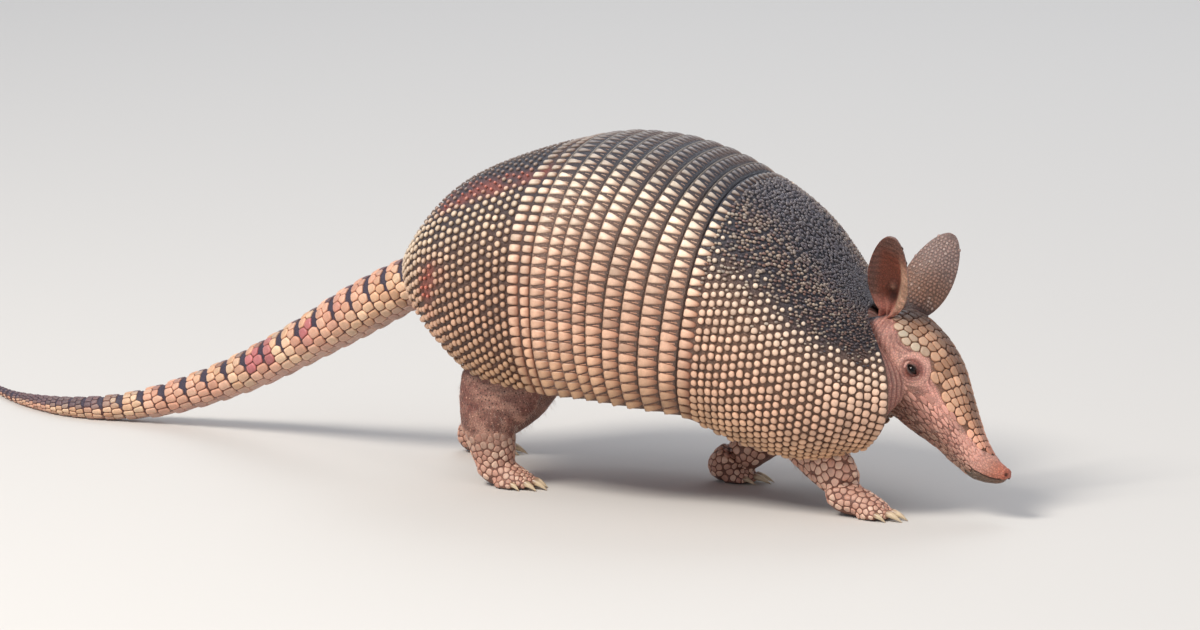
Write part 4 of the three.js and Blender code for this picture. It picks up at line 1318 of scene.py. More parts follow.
def ear_axes(name):
    """Root of an ear, the way it stands, the way its hollow faces, and across it."""
    side = SIDES[name]
    splay, lean = math.radians(EAR_SPLAY[name]), math.radians(EAR_LEAN[name])
    root = from_head(EAR_ROOT[0], EAR_ROOT[1] * side, EAR_ROOT[2]) + EAR_SHIFT[name]
    along = unit(np.array([math.sin(lean), side * math.sin(splay), math.cos(splay)]))
    facing = np.array([-math.sin(math.radians(EAR_FACING)), side, 0.0])
    facing = unit(facing - along * (facing @ along))
    return root, along, facing, np.cross(along, facing)


def ear_surface(name, face):
    """One face of an ear; t runs from root to tip, s from -1 to 1 across it. face is 1 for
    the hollow side and -1 for the back."""
    root, along, facing, across = ear_axes(name)

    def place(t, s):
        t, s = np.broadcast_arrays(np.asarray(t, float), np.asarray(s, float))
        fore = -SIDES[name] * s               # positive towards the edge that looks forwards
        inner = np.clip(t, 0, 1)
        swell = np.sin(math.pi * np.minimum(0.02 + 0.98 * inner, 1) ** EAR_WIDEST)
        wide = EAR_WIDTH / 2 * np.maximum(swell, 1e-4) ** EAR_FULLNESS
        hollow = EAR_CUP * (s ** 2 - 1) * np.sin(math.pi * np.minimum(0.2 + inner * 0.8, 1))
        thick = 0.8 - 0.35 * s ** 2
        lobe = smooth(0.8, 0.45, inner) * bump(fore - 0.72, 0.26)
        fold = 1.5 * lobe - 0.6 * smooth(0.7, 0.4, inner) * bump(fore - 0.3, 0.14)
        fold = fold + 1.3 * bump(inner - 0.32, 0.05) * bump(fore - 0.05, 0.16)
        root_fold = 0.7 * smooth(0.3, 0.05, inner) * np.cos(s * 9)
        wave = 0.25 * np.sin(inner * 9 + s * 2)
        offset = hollow + wave + face * thick + (fold + root_fold) * (face > 0) + 0.6 * lobe
        return (root + along * (EAR_LENGTH * t)[..., None] + across * (wide * s)[..., None]
                + facing * offset[..., None])

    return Surface(place, -face)


def ear_ridges(t, s, points):
    """Fine ridges across the ear, from 0 in its middle to full size at its edge."""
    ridges = np.sin(t * EAR_LENGTH * TURN / EAR_RIDGE_PITCH + 2 * noise(points, 5, 33))
    return ridges * smooth(0.35, 0.8, np.maximum(t, np.abs(s)))


def ear_back_tone(t, root_shade):
    tone = mix(EAR_BACK, EAR_BACK_LOW, smooth(0.75, 0.3, t))
    return mix(tone, CROWN_DARK, root_shade * smooth(0.26, 0.06, t))


def ear_tone(name, face, t, s, points):
    fore = -SIDES[name] * s
    if face > 0:
        # painted shade deep in the hollow of the ear, near its root
        tone = mix(EAR_INSIDE, EAR_HOLLOW_SHADE, smooth(0.62, 0.2, t) * bump(fore - 0.12, 0.45))
        tone = mix(tone, EAR_LOBE, 0.9 * smooth(0.85, 0.55, t) * smooth(0.3, 0.52, fore))
        rim = np.maximum(smooth(0.62, 0.9, t), smooth(0.5, 0.85, -fore))
        tone = mix(tone, EAR_RIM, 0.85 * rim)
        tone = mix(tone, EAR_LOBE, 0.55 * bump(t - 0.31, 0.03) * bump(fore - 0.05, 0.1))
        tone = mix(tone, EAR_ROOT_PINK, 0.8 * smooth(0.2, 0.05, t))
        tone = tone * (1 + 0.24 * ear_ridges(t, s, points))[..., None]
    else:
        tone = ear_back_tone(t, 0.75) * 0.72
    return tone * (1 + 0.12 * noise(points, 4, 34))[..., None]


def ear_skin(form, name):
    """Both faces of an ear, joined round its edge and let into the head at its root."""
    tip_rows = 0.9 + 0.097 * np.sin(np.linspace(0, math.pi / 2, 9)[1:])
    rows = np.concatenate([np.linspace(EAR_SUNK, 0.9, 46), tip_rows])
    columns = np.sin(np.linspace(-math.pi / 2, math.pi / 2, 26))
    facing = ear_axes(name)[2]
    loops, tones = [], []
    for face in (1, -1):
        t, s = np.meshgrid(rows, columns[::face], indexing="ij")
        points = ear_surface(name, face).place(t, s)
        ridges = ear_ridges(t, s, points) * (1 - s ** 2)
        loops.append(points + (face * 0.1 * ridges)[..., None] * facing)
        tones.append(ear_tone(name, face, np.clip(t, 0, 1), s, loops[-1]))
    add_net(form, np.concatenate(loops, 1), np.concatenate(tones, 1), turned=True)


def ear_scales(form, name):
    """Small pebble scales in rows over the back of an ear."""
    surface = ear_surface(name, -1)
    stations = stations_along(surface, (0.12, 0.93), 0.0, lambda u: 1.9)
    centres = rows_of_centres(surface, stations, (-0.93, 0.93),
                              lambda u, v: np.full_like(v, 2.1), jitter=0.3)
    t = centres[:, 0]
    radii = cell_radii(surface, centres, 8, 0.35, 1.0, 5.0)
    white = (RANDOM.random(len(t)) < 0.06) * 0.25
    grey = 1 + 0.1 * noise(surface.place(*centres.T), 3, 35)
    tone = mix(ear_back_tone(t, 0.6), EAR_WHITE, white) * grey[:, None]
    raise_scutes(form, surface, centres, radii, 0.3, tone, ((0, 1), (-1.05, 1.05)),
                 profile=PEBBLE)


# ---------------------------------------------------------------- tail

TAIL_PEACH = rgb(238, 204, 170)
TAIL_TAN = rgb(204, 156, 122)
TAIL_DARK = rgb(66, 56, 72)
TAIL_UNDER = rgb(182, 146, 136)
TAIL_GROOVE = rgb(104, 66, 60)
TAIL_MAGENTA = rgb(180, 88, 104)
TAIL_ROSE = rgb(212, 150, 134)
TAIL_RANGES = ((0.0, TAIL_LAST + 1.0), (SEAM, SEAM + TURN))
RING_PITCH = np.array([[0, 11.0], [60, 14.5], [110, 16.2], [210, 15.5], [260, 9.5], [370, 5.5]])


TAIL_U = np.linspace(0, TAIL_LAST, 1200)
TAIL_ARC = run_along(row_at(TAIL_STATIONS, TAIL_U)[:, :3])     # mm along the tail up to TAIL_U


def ring_joints():
    joints = [5.0]
    while joints[-1] < TAIL_ARC[-1] - 4:
        joints.append(joints[-1] + np.interp(joints[-1], *RING_PITCH.T))
    return np.array(joints)


RING_JOINTS = ring_joints()


def ring_share(u):
    """How far a station lies between the joint before it and the joint after it."""
    arc = np.interp(u, TAIL_U, TAIL_ARC)
    number = np.clip(np.searchsorted(RING_JOINTS, arc) - 1, 0, len(RING_JOINTS) - 2)
    start = RING_JOINTS[number]
    span = RING_JOINTS[number + 1] - start
    return np.clip((arc - start) / span, 0, 1), span


def groove_share(rise, u):
    """Share of each ring, at its front, that is bare skin: wide over the back, a line below."""
    return (0.06 + 0.26 * smooth(0, 40, rise)) * smooth(11.5, 8, u) + 0.03


def tip_dark(u, rise):
    return smooth(7.4, 9.0, u) * smooth(-5, 22, rise)


def tail_relief_soft(u):
    """Each ring rises towards its back edge, which overhangs the next ring."""
    share, _ = ring_share(u)
    radius = row_at(TAIL_STATIONS, np.clip(u, 0, TAIL_LAST))[..., 3]
    return np.clip(radius / 11, 0.2, 1) * (-1.15 + 0.95 * smooth(0.05, 0.9, share))


def tail_relief(u, angle, points):
    return tail_relief_soft(u) - 0.15 + 0.08 * noise(points, 2, 40)


def tail_tone(u, angle, points):
    share, _ = ring_share(u)
    rise = head_rise(angle) + 5 * noise(points, 7, 43)
    tone = mix(TAIL_UNDER, TAIL_GROOVE, smooth(-58, -30, rise))
    bar = smooth(-8, 16, rise) * smooth(0.46, 0.36, share)
    tone = mix(tone, TAIL_DARK, np.maximum(bar, tip_dark(u, rise)))
    joint = np.minimum(share, 1 - share)
    return mix(tone, TAIL_GROOVE * 0.5, 0.8 * bump(joint, 0.06) * (1 - bar))


def tail_skin(form):
    arcs = np.concatenate([np.arange(0, 250, 0.95), np.arange(250, TAIL_ARC[-1], 0.8)])
    stations = np.interp(arcs, TAIL_ARC, TAIL_U)
    closed_tube(form, TAIL, np.concatenate([stations, TAIL_LAST + np.array([0.0, 0.5, 0.9])]),
                56, tail_tone, tail_relief, floor=0.1)


def ring_of_scales(start, end):
    """Places of the scales on one ring of the tail, mirror images across its two edges, and
    its radius."""
    middle = np.interp((start + end) / 2, TAIL_ARC, TAIL_U)
    radius = row_at(TAIL_STATIONS, np.array(middle))[3]
    count = max(int(round(TURN * radius / np.clip(radius * 0.47, 1.5, 5.7))), 7)
    step = TURN / count
    shares = (0.38, 0.78) if end - start > 7.5 else (0.56,)
    rows = []
    for k, share in enumerate(shares):
        angle = SEAM + (np.arange(count) + 0.25 + 0.5 * k) * step
        angle = angle + RANDOM.normal(0, 0.07, count) * step
        wall = groove_share(head_rise(angle), middle)
        centre = share + (wall - 0.15) * (0.5 if k == 0 else 0.12)
        centre = centre + RANDOM.normal(0, 0.012, count)
        rows.append((angle, centre))
        if k == 0:
            rows.append((angle, 2 * wall - centre))
        if k == len(shares) - 1:
            rows.append((angle, 2 - centre))
    rows = [np.stack([np.interp(start + (end - start) * share, TAIL_ARC, TAIL_U), angle], -1)
            for angle, share in rows]
    if len(rows) == 3:
        return rows[0], np.concatenate(rows[1:]), radius
    return np.concatenate([rows[0], rows[2]]), np.concatenate([rows[1], rows[3]]), radius


def tail_scales():
    """One or two rows of big scales on each ring of the tail."""
    surface = Surface(lambda a, b: tail_floor(TAIL.lifted(a, b, tail_relief_soft(a))))
    centres, radii = [], []
    for start, end in zip(RING_JOINTS[:-1], RING_JOINTS[1:]):
        places, mirrors, radius = ring_of_scales(start, end)
        centres.append(places)
        radii.append(cell_radii(surface, places, 18, 0.32, np.clip(radius * 0.5, 0.9, 6.0), 14.0,
                                beyond=mirrors))
    centres, radii = np.concatenate(centres), np.concatenate(radii)
    u, angle = centres.T
    rise = head_rise(angle)
    points = TAIL.place(u, angle)
    share, _ = ring_share(u)
    radius = row_at(TAIL_STATIONS, np.clip(u, 0, TAIL_LAST))[:, 3]
    under = smooth(-30, -62, rise)
    tone = mix(TAIL_PEACH, TAIL_TAN, RANDOM.random(len(u)))
    tone = mix(tone, TAIL_ROSE, 0.5 * smooth(-0.1, 0.5, noise(points, 20, 42)))
    sore = smooth(0.22, 0.5, noise(points, 10, 47)) * smooth(-12, 2, rise) * smooth(1.6, 2.6, u)
    tone = mix(tone, TAIL_MAGENTA, 0.75 * sore * smooth(9.5, 8, u))
    slate = smooth(58, 76, rise) * smooth(0.66, 0.5, share)
    tone = mix(tone, TAIL_DARK * 1.3, 0.85 * np.maximum(slate, tip_dark(u, rise)))
    # random tone, darker towards the root of the tail
    varied = (1 + 0.07 * RANDOM.normal(size=len(u))) * (1 - 0.14 * smooth(1.3, 0.3, u))
    tone = mix(tone, TAIL_UNDER, 0.8 * under) * varied[:, None]
    height = np.clip(radius * 0.07, 0.15, 0.8) * (1 - 0.6 * under)
    form = Form()
    raise_scutes(form, surface, centres, radii, height, tone, TAIL_RANGES, profile=TILE)
    form.piece("tail_scutes", TAIL_HORN)


def tail_floor(points):
    points = points.copy()
    points[..., 2] = np.maximum(points[..., 2], 0.15)
    return points


# ---------------------------------------------------------------- trunk

BELLY = rgb(136, 92, 80)
# Painted shade in the neck opening, under the rim of the shell.
NECK_HOLE_SHADE = rgb(70, 40, 36)
COLLAR_SHARES = [0, 0.2, 0.45]      # of the way from the neck opening to the head's middle
COLLAR_FORWARD = [0, 4.2, 7.6]
COLLAR_MIDDLE = (8, 72)
COLLAR_FOLDS = 6


def collar(edge):
    """Folds of skin from the edge of the neck opening to the head, with their colours, in which
    shade is painted: in the troughs of the folds, at the shell's rim and on the lower side.
    """
    t = np.linspace(0, 1, 37)[1:, None]
    share = np.interp(t, [0, 0.5, 1], COLLAR_SHARES)[..., None]
    middle = from_head(COLLAR_MIDDLE[0], 0, COLLAR_MIDDLE[1])
    points = edge[None] * (1 - share) + middle * share
    wave = np.sin(t * TURN * COLLAR_FOLDS + 2.4 * noise(points, 9, 52))
    points[..., 0] = edge[None, :, 0] + np.interp(t, [0, 0.5, 1], COLLAR_FORWARD)
    points[..., 0] += 0.55 * wave * smooth(0, 0.12, t) - 0.3
    # skin red, with painted shade in the troughs of the folds
    tone = mix(PINK * 0.95, SKIN_RED_AND_FOLD_SHADE, 0.15 + 0.6 * smooth(0.3, -0.8, wave))
    # painted shade under the rim of the shell
    tone = mix(tone, NECK_HOLE_SHADE, smooth(0.22, 0.0, t))
    # painted shade on the lower side of the neck
    return points, mix(tone, SKIN_RED_AND_FOLD_SHADE * 0.7, 0.6 * smooth(74, 50, points[..., 2]))


def trunk_skin(form):
    """Body inside the shell, closed below by the hanging belly."""
    rows, back, belly = 64, 26, 44
    u = np.linspace(*TRUNK_RANGE, rows)[:, None]
    share = np.linspace(0.02, 0.98, back)[None]
    over = SHELL.lifted(*np.broadcast_arrays(u, share), np.full((rows, back), -TRUNK_DEPTH))
    t = np.linspace(0, 1, belly + 2)[None, 1:-1, None]
    rise = CHEST_RISE * np.maximum(u - CHEST_START, 0) / (TRUNK_RANGE[1] - CHEST_START)
    under = over[:, -1:] * (1 - t) + over[:, :1] * t
    under[..., 2] -= (BELLY_SAG - rise) * 4 * t[..., 0] * (1 - t[..., 0])
    under[..., 2] += 0.5 * rough(under, 9, 50) + 0.25 * np.sin(under[..., 0] * TURN / 5)
    points = np.concatenate([over, under], 1)
    tone = mix(BELLY, SKIN_RED_AND_FOLD_SHADE, 0.3 + 0.3 * noise(points, 12, 51))
    # painted shade towards the neck opening, inside the shell
    tone = mix(tone, NECK_HOLE_SHADE, smooth(6.8, 8.0, u))
    folds, fold_tone = collar(points[-1])
    add_net(form, np.concatenate([points, folds]), np.concatenate([tone, fold_tone]))


# ---------------------------------------------------------------- legs, feet and claws

LEG_SKIN = rgb(180, 134, 116)
LEG_SHADE = rgb(128, 84, 72)
LEG_SCALE = rgb(220, 186, 164)
LEG_CRACK = rgb(118, 76, 62)
SOLE_DARK = rgb(96, 70, 60)
VOXEL = 0.85                   # the legs' skin is made of faces of this size
RELAX_STEPS = 12


def foot_point(foot, forward, side, height):
    turn = math.radians(foot["heading"])
    x, y = foot["ankle"]
    return np.array([x + forward * math.cos(turn) - side * math.sin(turn),
                     y + forward * math.sin(turn) + side * math.cos(turn), height])


def foot_across(foot):
    return foot_point(foot, 0, 1, 0) - foot_point(foot, 0, 0, 0)


def finger(foot, rows, cap):
    """Tapered tube through rows of forward, sideways, height and radius."""
    table = [[*foot_point(foot, f, s, h), r, r, r] for f, s, h, r in rows]
    return tube(table, foot_across(foot), cap=cap)


def palm_surface(foot):
    lean, length = foot["lean"], foot["length"]
    base = finger(foot, [[lean, 0, 15, 7.6], [lean * 0.5 - 2.5, 0, 9, 7.8],
                         [length * 0.25, 0, 7.2 - SOLE_SINK, 7.2],
                         [length, 0, 4.2 - SOLE_SINK, 4.2]], 2.0)
    ankle = foot_point(foot, 0, 0, 0)
    across = foot_across(foot)

    def place(u, angle):
        points = base.place(u, angle)
        offset = points - ankle
        reach = np.minimum(np.linalg.norm(offset[..., :2], axis=-1) / length, 1)
        return points + across * ((offset @ across) * PALM_SPREAD * reach ** 2)[..., None]

    return Surface(place, -1)


def toe_surface(foot, toe):
    side, back, length, radius = toe[:4]
    start = foot["length"] + back
    low = radius - SOLE_SINK
    return finger(foot, [[start - 5, side * 0.85, low, radius * 0.9],
                         [start + length * 0.3, side * 0.97, low + 0.5, radius * 1.02],
                         [start + length * 0.7, side, low + 0.2, radius * 0.92],
                         [start + length, side * 1.04, low, radius * 0.74]], 0.7)


def vertex_rows(mesh, field):
    """Three numbers of a mesh's field for each vertex."""
    values = np.empty(len(mesh.vertices) * 3)
    mesh.vertices.foreach_get(field, values)
    return values.reshape(-1, 3)


def remeshed(form):
    """Points, faces and normals of one continuous skin round all the closed parts of a form."""
    mesh = form.mesh("scratch")
    scratch = bpy.data.objects.new("scratch", mesh)
    bpy.context.scene.collection.objects.link(scratch)
    remesh = scratch.modifiers.new("remesh", "REMESH")
    remesh.mode = "VOXEL"
    remesh.voxel_size = VOXEL * METRE
    relax = scratch.modifiers.new("relax", "SMOOTH")
    relax.factor = 0.5
    relax.iterations = RELAX_STEPS
    result = scratch.evaluated_get(bpy.context.evaluated_depsgraph_get()).to_mesh()
    points = vertex_rows(result, "co") / METRE - TO_BOX_CENTRE
    normals = vertex_rows(result, "normal")
    corners = np.empty(len(result.loops), int)
    result.loops.foreach_get("vertex_index", corners)
    bpy.data.objects.remove(scratch)
    bpy.data.meshes.remove(mesh)
    return points, corners.reshape(-1, 4), normals


SCALED_TO = {"fore": 50, "hind": 26}     # height that the scales of the legs reach
PATCH = 0.008                            # half the width of a scale on the flat map
LIMBS = {}                               # skins of the legs, made once


def limb(name):
    """Leg, palm and toes as one wrinkled skin with a flat sole: points, faces, normals, and
    how deep the folds are."""
    if name in LIMBS:
        return LIMBS[name]
    foot = LEGS[name]
    parts = Form()
    leg = tube(foot["stations"], (0, 1, 0), cap=1.0)
    last = len(foot["stations"]) - 1
    closed_tube(parts, leg, np.linspace(0, last + 0.9, 24), 32, LEG_SKIN)
    closed_tube(parts, palm_surface(foot), np.linspace(0, 3.9, 24), 28, LEG_SKIN)
    for toe in TOES[foot["toes"]]:
        closed_tube(parts, toe_surface(foot, toe), np.linspace(0, 3.9, 16), 16, LEG_SKIN)
    points, quads, normals = remeshed(parts)
    bend = noise(points * (1, 1, 2.2), 6.5, 60)
    scaled = SCALED_TO[foot["toes"]]
    wrinkle = 0.3 * bend * smooth(scaled - 6, scaled + 4, points[:, 2])
    points = points + normals * (wrinkle + 0.14 * rough(points, 3.0, 61) + 0.05)[:, None]
    points[:, 2] = np.maximum(points[:, 2], 0.0)
    LIMBS[name] = points, quads, normals, bend
    return LIMBS[name]


def leg_skin(form, name, foot):
    points, quads, normals, bend = limb(name)
    height = points[:, 2]
    tone = mix(LEG_SKIN, LEG_SHADE, smooth(-0.1, 0.7, rough(points, 7, 62)))
    # painted shade on the inner side of each leg, towards the body
    inner = -np.sign(foot["ankle"][1]) * normals[:, 1]
    tone = mix(tone, LEG_SHADE * 0.75, 0.5 * smooth(0.0, 0.8, inner))
    # painted shade towards the top of the leg, under the shell's rim
    tone = mix(tone, LEG_SHADE * 0.8, 0.3 * smooth(40, 60, height))
    scaled = SCALED_TO[foot["toes"]] - 2
    tone = mix(tone, LEG_CRACK, 0.8 * smooth(scaled + 4, scaled - 4, height))
    speckle = smooth(0.35, 0.75, noise(points, 1.3, 63)) * smooth(scaled, scaled + 6, height)
    tone = mix(tone, LEG_SHADE * 0.6, 0.5 * speckle)
    # painted shade in the troughs of the wrinkles
    tone = mix(tone, SKIN_RED_AND_FOLD_SHADE * 0.8, 0.6 * smooth(0.15, -0.35, bend) * smooth(30, 40, height))
    tone = mix(tone, SOLE_DARK, smooth(1.2, 0.4, height))
    form.add(points, tone, quads=quads)


def spread_out(points, spacing):
    """Numbers of points picked in random order, each kept if no other is within its spacing."""
    kept = np.empty(0, int)
    for number in RANDOM.permutation(len(points)):
        away = np.linalg.norm(points[kept] - points[number], axis=1)
        if len(kept) == 0 or away.min() > spacing[number]:
            kept = np.append(kept, number)
    return kept


def limb_map(foot, points):
    """Flat-map places of points on a leg: round its bent centre line, and along it."""
    line = [row[:3] for row in foot["stations"]]
    length = foot["length"]
    line += [foot_point(foot, f, 0, 4.0) for f in (length * 0.3, length, length + 8)]
    line = np.array(line, float)
    ends = line[1:] - line[:-1]
    offset = points[:, None] - line[None, :-1]
    share = np.clip((offset * ends).sum(-1) / (ends ** 2).sum(-1), 0, 1)
    apart = np.linalg.norm(offset - share[..., None] * ends, axis=-1)
    part = apart.argmin(1)
    rows = np.arange(len(points))
    share = share[rows, part]
    start = run_along(line)
    along = (start[part] + share * np.diff(start)[part]) / start[-1]
    out = points - (line[part] + share[:, None] * ends[part])
    forward = unit(ends[part])
    side = unit(np.array([0, 1.0, 0]) - forward * forward[:, 1:2])
    angle = np.arctan2((out * np.cross(forward, side)).sum(-1), (out * side).sum(-1))
    return flat_place(along, angle, (0, 1), (-math.pi, math.pi))


def leg_scales(form, name, foot):
    """Polygonal scales over the lower leg, the ankle, the top of the foot and the toes."""
    points, _, normals, _ = limb(name)
    height = points[:, 2]
    top = SCALED_TO[foot["toes"]]
    allowed = (height > 2.0) & (normals[:, 2] > -0.55)
    allowed &= RANDOM.random(len(points)) < smooth(top + 3, top - 5, height)
    ahead = (points[:, :2] - foot["ankle"]) @ (foot_point(foot, 1, 0, 0)
                                                - foot_point(foot, 0, 0, 0))[:2]
    toes = smooth(foot["length"] - 6, foot["length"] + 3, ahead) * smooth(12, 8, height)
    coarse = 1.0 if foot["toes"] == "fore" else 0.3
    spacing = 2.9 + coarse * smooth(8, 28, height) - 0.9 * toes
    numbers = np.flatnonzero(allowed)
    numbers = numbers[spread_out(points[numbers], spacing[numbers])]
    centre = points[numbers]
    tone = mix(LEG_SKIN * 1.05, LEG_SCALE, RANDOM.random(len(centre)) ** 1.5)
    lit = 1.1 if foot["toes"] == "fore" else 1.06 - 0.26 * smooth(10, 24, centre[:, 2])
    tone = tone * (lit * (1 + 0.13 * noise(centre, 9, 66)))[:, None]
    raise_on_limb(form, name, foot, numbers, spacing[numbers] * 0.72,
                  0.42 - 0.12 * toes[numbers], tone, SOFT_TILE, 14)


def leg_pores(form, name, foot):
    """Dark dots where the hairs of the thigh and the upper leg grow."""
    points, _, _, _ = limb(name)
    bare = np.flatnonzero(points[:, 2] > SCALED_TO[foot["toes"]] + 4)
    numbers = bare[spread_out(points[bare], np.full(len(bare), 1.9))]
    size = RANDOM.uniform(0.28, 0.62, len(numbers))
    tone = mix(LEG_SHADE * 0.4, LEG_SKIN * 1.15, RANDOM.random(len(numbers)) < 0.35)
    raise_on_limb(form, name, foot, numbers, size, 0.14, tone, GRAIN, 6)


def raise_on_limb(form, name, foot, numbers, largest, height, tone, profile, angles):
    """Scales or grains rooted at numbered points of a leg's skin, following its curve."""
    points, quads, normals, _ = limb(name)
    centre, normal = points[numbers], normals[numbers]
    first = unit(np.cross(normal, (0.3, 0.2, 1.0)))
    second = np.cross(normal, first)
    radii = cell_rims(centre, normal, first, second, centre, normal, angles, 0.38, largest, 12.0)
    tree = BVHTree.FromPolygons([Vector(point) for point in points], quads.tolist())
    flat = limb_map(foot, centre)[:, None]
    size = PATCH / radii.max(1)[:, None, None]
    lift = np.broadcast_to(height, len(numbers))[:, None, None] * normal[:, None]

    def seat(x, y, level):
        reach = np.stack([x, y], -1)
        spots = centre[:, None] + reach @ np.stack([first, second], 1)
        near = [tree.find_nearest(Vector(spot))[0] for spot in spots.reshape(-1, 3)]
        return np.array(near).reshape(spots.shape) + level * lift, flat + reach * size

    raise_caps(form, radii, profile, tone, seat)


HORN_PALE = rgb(206, 184, 152)
HORN_ROOT = rgb(140, 104, 84)
HORN_TIP = rgb(120, 92, 70)


def claws(name, foot):
    form = Form()
    for side, back, length, _, claw_length, radius in TOES[foot["toes"]]:
        start = foot["length"] + back + length + CLAW_GAP
        rows = []
        for t in np.linspace(0, 1, 9):
            thick = radius * (1 - t ** 1.6) + 0.12
            height = 0.1 + thick + (radius * 0.35 + 0.7) * (1 - t) + 0.5 * t * (1 - t) * radius
            rows.append([start - 0.6 + (claw_length + 0.4) * t, side * (1.04 + 0.06 * t), height,
                         thick * 0.96])
        surface = finger(foot, rows, 0.15)

        def tint(u, angle, points):
            streak = noise(points * (0.4, 1.6, 1.6), 0.9, 70)
            tone = mix(HORN_ROOT, HORN_PALE, smooth(0.0, 3.0, u + streak))
            return mix(tone, HORN_TIP, 0.5 * smooth(6.4, 8.2, u))

        def groove(u, angle, points):
            under = smooth(-0.5, -0.95, np.sin(angle))
            return -0.3 * under * smooth(9, 2, u) + 0.04 * np.sin(angle * 12)

        closed_tube(form, surface, np.linspace(0, 8.9, 22), 24, tint, groove, floor=0.02)
    nodes = [f"claw_{name}_{i}" for i in range(1, len(TOES[foot["toes"]]) + 1)]
    form.piece(f"claws_{name}", CLAW_HORN, nodes)


# ---------------------------------------------------------------- sparse hairs

HAIR_WHITE = rgb(208, 184, 168)
HAIR_SPOT = 0.0015             # half the width of a hair on the flat map


def hairs(form, surface, places, lie, length, ranges, radius, column):
    """Thin three-sided hairs rooted at places, lying along lie and standing off a little.
    Each surface has a column of the flat map to itself."""
    point, _, _, normal = surface.frame(*places.T)
    count = len(places)
    direction = unit(lie + normal * RANDOM.uniform(0.35, 1.0, count)[:, None]
                     + RANDOM.normal(0, 0.25, (count, 3)))
    reach = length * RANDOM.uniform(0.6, 1.3, count)[:, None]
    first = unit(np.cross(direction, normal + 0.01))
    second = np.cross(direction, first)
    corners = [(math.cos(k * TURN / 3), math.sin(k * TURN / 3)) for k in range(3)]
    flat = (flat_place(*places.T, *ranges) + (column, 0)) / (1 + len(LEGS), 1)
    rings, flats = [], []
    for t, spread in ((-0.08, HAIR_SPOT), (0.5, HAIR_SPOT * 0.66), (1.0, HAIR_SPOT * 0.33)):
        middle = point + direction * reach * t - normal * 0.18 * reach * t * t
        middle[:, 2] = np.maximum(middle[:, 2], 0.2)
        thick = radius * (1 - 0.85 * max(t, 0))
        rings += [middle + thick * (x * first + y * second) for x, y in corners]
        flats += [flat + (spread * x, spread * y) for x, y in corners]
    net = grid_faces(3, 3, closed=True, turned=True)
    offsets = np.arange(count)[:, None, None] * len(rings)
    form.add(np.stack(rings, 1), HAIR_WHITE, np.stack(flats, 1),
             (net + offsets).reshape(-1, 4), (np.array([[8, 7, 6]]) + offsets).reshape(-1, 3))


def scattered(count, u_range, v_range):
    return np.stack([RANDOM.uniform(*u_range, count), RANDOM.uniform(*v_range, count)], -1)


def body_hairs():
    form = Form()
    back = unit(HEAD_TABLE[0, :3] - HEAD_TABLE[-1, :3])
    for low, high in ((-65, 12), (168, 245)):
        places = scattered(210, (4.2, 9.6), (math.radians(low), math.radians(high)))
        hairs(form, HEAD, places, back, 3.4, HEAD_RANGES, 0.05, 0)
    for column, foot in enumerate(LEGS.values(), 1):
        leg = tube(foot["stations"], (0, 1, 0), cap=1.0)
        top = len(foot["stations"]) - 1.0
        places = scattered(600, (0.3, top - 1.6), (SEAM, SEAM + TURN))
        down = np.array([0.35, 0, -1.0])
        hairs(form, leg, places, down, 4.4, ((0, top + 1), (SEAM, SEAM + TURN)), 0.045, column)
    form.piece("hairs", HAIR)


# ---------------------------------------------------------------- assembly

def make_skin():
    form = Form()
    trunk_skin(form)
    head_skin(form)
    for name in SIDES:
        lids(form, name)
        ear_skin(form, name)
    tail_skin(form)
    for name, foot in LEGS.items():
        leg_skin(form, name, foot)
    nodes = ["trunk", "neck", "head", "ear_right", "ear_left", *TAIL_NODES]
    nodes += [f"leg_{name}" for name in LEGS] + [f"foot_{name}" for name in LEGS]
    form.piece("skin", SKIN, nodes)


def scale_piece(name, slot, makers, *details):
    """One piece of scales from functions that each add some of them."""
    form = Form()
    for make in makers:
        make(form, *details)
    form.piece(name, SCALE_SKIN)


def make_scales():
    scale_piece("head_scales", "head_skin", [head_scales])
    scale_piece("cheek_scales", "head_skin", [cheek_scales])
    for name in SIDES:
        scale_piece(f"ear_scales_{name}", "head_skin", [ear_scales], name)
    for name, foot in LEGS.items():
        scale_piece(f"leg_scales_{name}", "body_skin", [leg_scales, leg_pores], name, foot)
        claws(name, foot)
    tail_scales()
    body_hairs()


make_shell()
make_skin()
make_scales()
for eye in SIDES:
    eyeball(eye)


# ---------------------------------------------------------------- stage, light and camera

VIEW_AZIMUTH = 25
VIEW_RISE = 10
VIEW_DISTANCE = 4.0
VIEW_TARGET = Vector((0.0969, -0.0128, 0.0871))
VIEW_LENS = 228
SENSOR = 36
FLOOR_SIZE = 40
FLOOR_PALE = (0.62, 0.6, 0.57, 1)
SKY_PALE = (0.86, 0.9, 1.0, 1)
SKY_STRENGTH = 0.55
LIGHT_TARGET = (0.05, 0, 0.08)
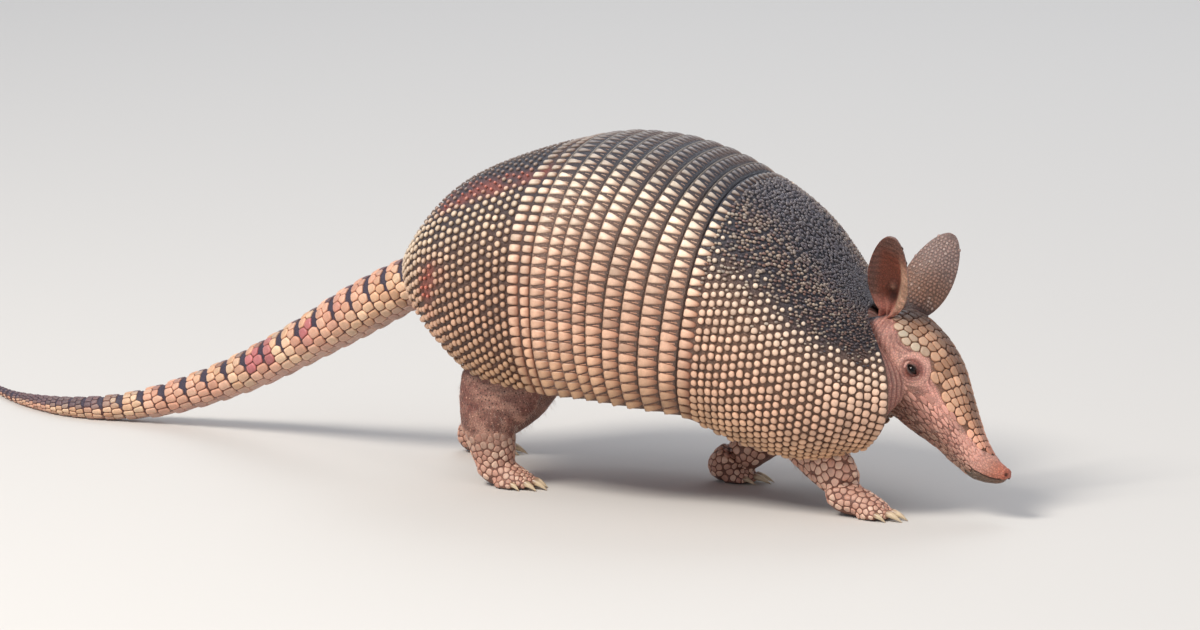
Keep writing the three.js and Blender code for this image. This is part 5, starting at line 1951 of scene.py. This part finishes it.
# Soft lights: name, azimuth and rise in degrees, distance and size in metres, power, colour.
LIGHTS = [("key", -25, 52, 2.6, 0.9, 62, (1.0, 0.95, 0.88)),
          ("fill", 70, 30, 3.0, 2.0, 16, (1.0, 0.97, 0.94)),
          ("back", 190, 45, 3.0, 1.6, 22, (0.9, 0.95, 1.0))]


def away_at(azimuth, rise):
    """Unit vector at an azimuth and rise in degrees; azimuth 0 is in front of the right side."""
    azimuth, rise = math.radians(azimuth), math.radians(rise)
    return Vector((math.sin(azimuth) * math.cos(rise), -math.cos(azimuth) * math.cos(rise),
                   math.sin(rise)))


def aimed(thing, place, target):
    thing.location = place
    thing.rotation_euler = (Vector(target) - Vector(place)).to_track_quat("-Z", "Y").to_euler()
    bpy.context.scene.collection.objects.link(thing)


def area_light(name, azimuth, rise, distance, size, power, colour):
    lamp = bpy.data.lights.new(name, "AREA")
    lamp.size = size
    lamp.energy = power
    lamp.color = colour
    aimed(bpy.data.objects.new(name, lamp), away_at(azimuth, rise) * distance, LIGHT_TARGET)


def make_stage():
    bpy.ops.mesh.primitive_plane_add(size=FLOOR_SIZE, location=(0, 0, 0))
    floor = bpy.context.object
    floor.name = "floor"
    paint = bpy.data.materials.new("floor_paint")
    paint.use_nodes = True
    shader = paint.node_tree.nodes["Principled BSDF"]
    shader.inputs["Base Color"].default_value = FLOOR_PALE
    shader.inputs["Roughness"].default_value = 0.9
    floor.data.materials.append(paint)
    world = bpy.data.worlds.new("studio")
    world.use_nodes = True
    sky = world.node_tree.nodes["Background"]
    sky.inputs["Color"].default_value = SKY_PALE
    sky.inputs["Strength"].default_value = SKY_STRENGTH
    bpy.context.scene.world = world
    for light in LIGHTS:
        area_light(*light)


def make_camera():
    lens = bpy.data.cameras.new("camera")
    lens.lens = VIEW_LENS
    lens.sensor_width = SENSOR
    lens.clip_start = 0.1
    lens.clip_end = 100
    camera = bpy.data.objects.new("camera", lens)
    away = away_at(VIEW_AZIMUTH, VIEW_RISE) * VIEW_DISTANCE
    aimed(camera, VIEW_TARGET + away, VIEW_TARGET)
    bpy.context.scene.camera = camera


make_stage()
make_camera()
bpy.context.scene.view_settings.view_transform = "Standard"
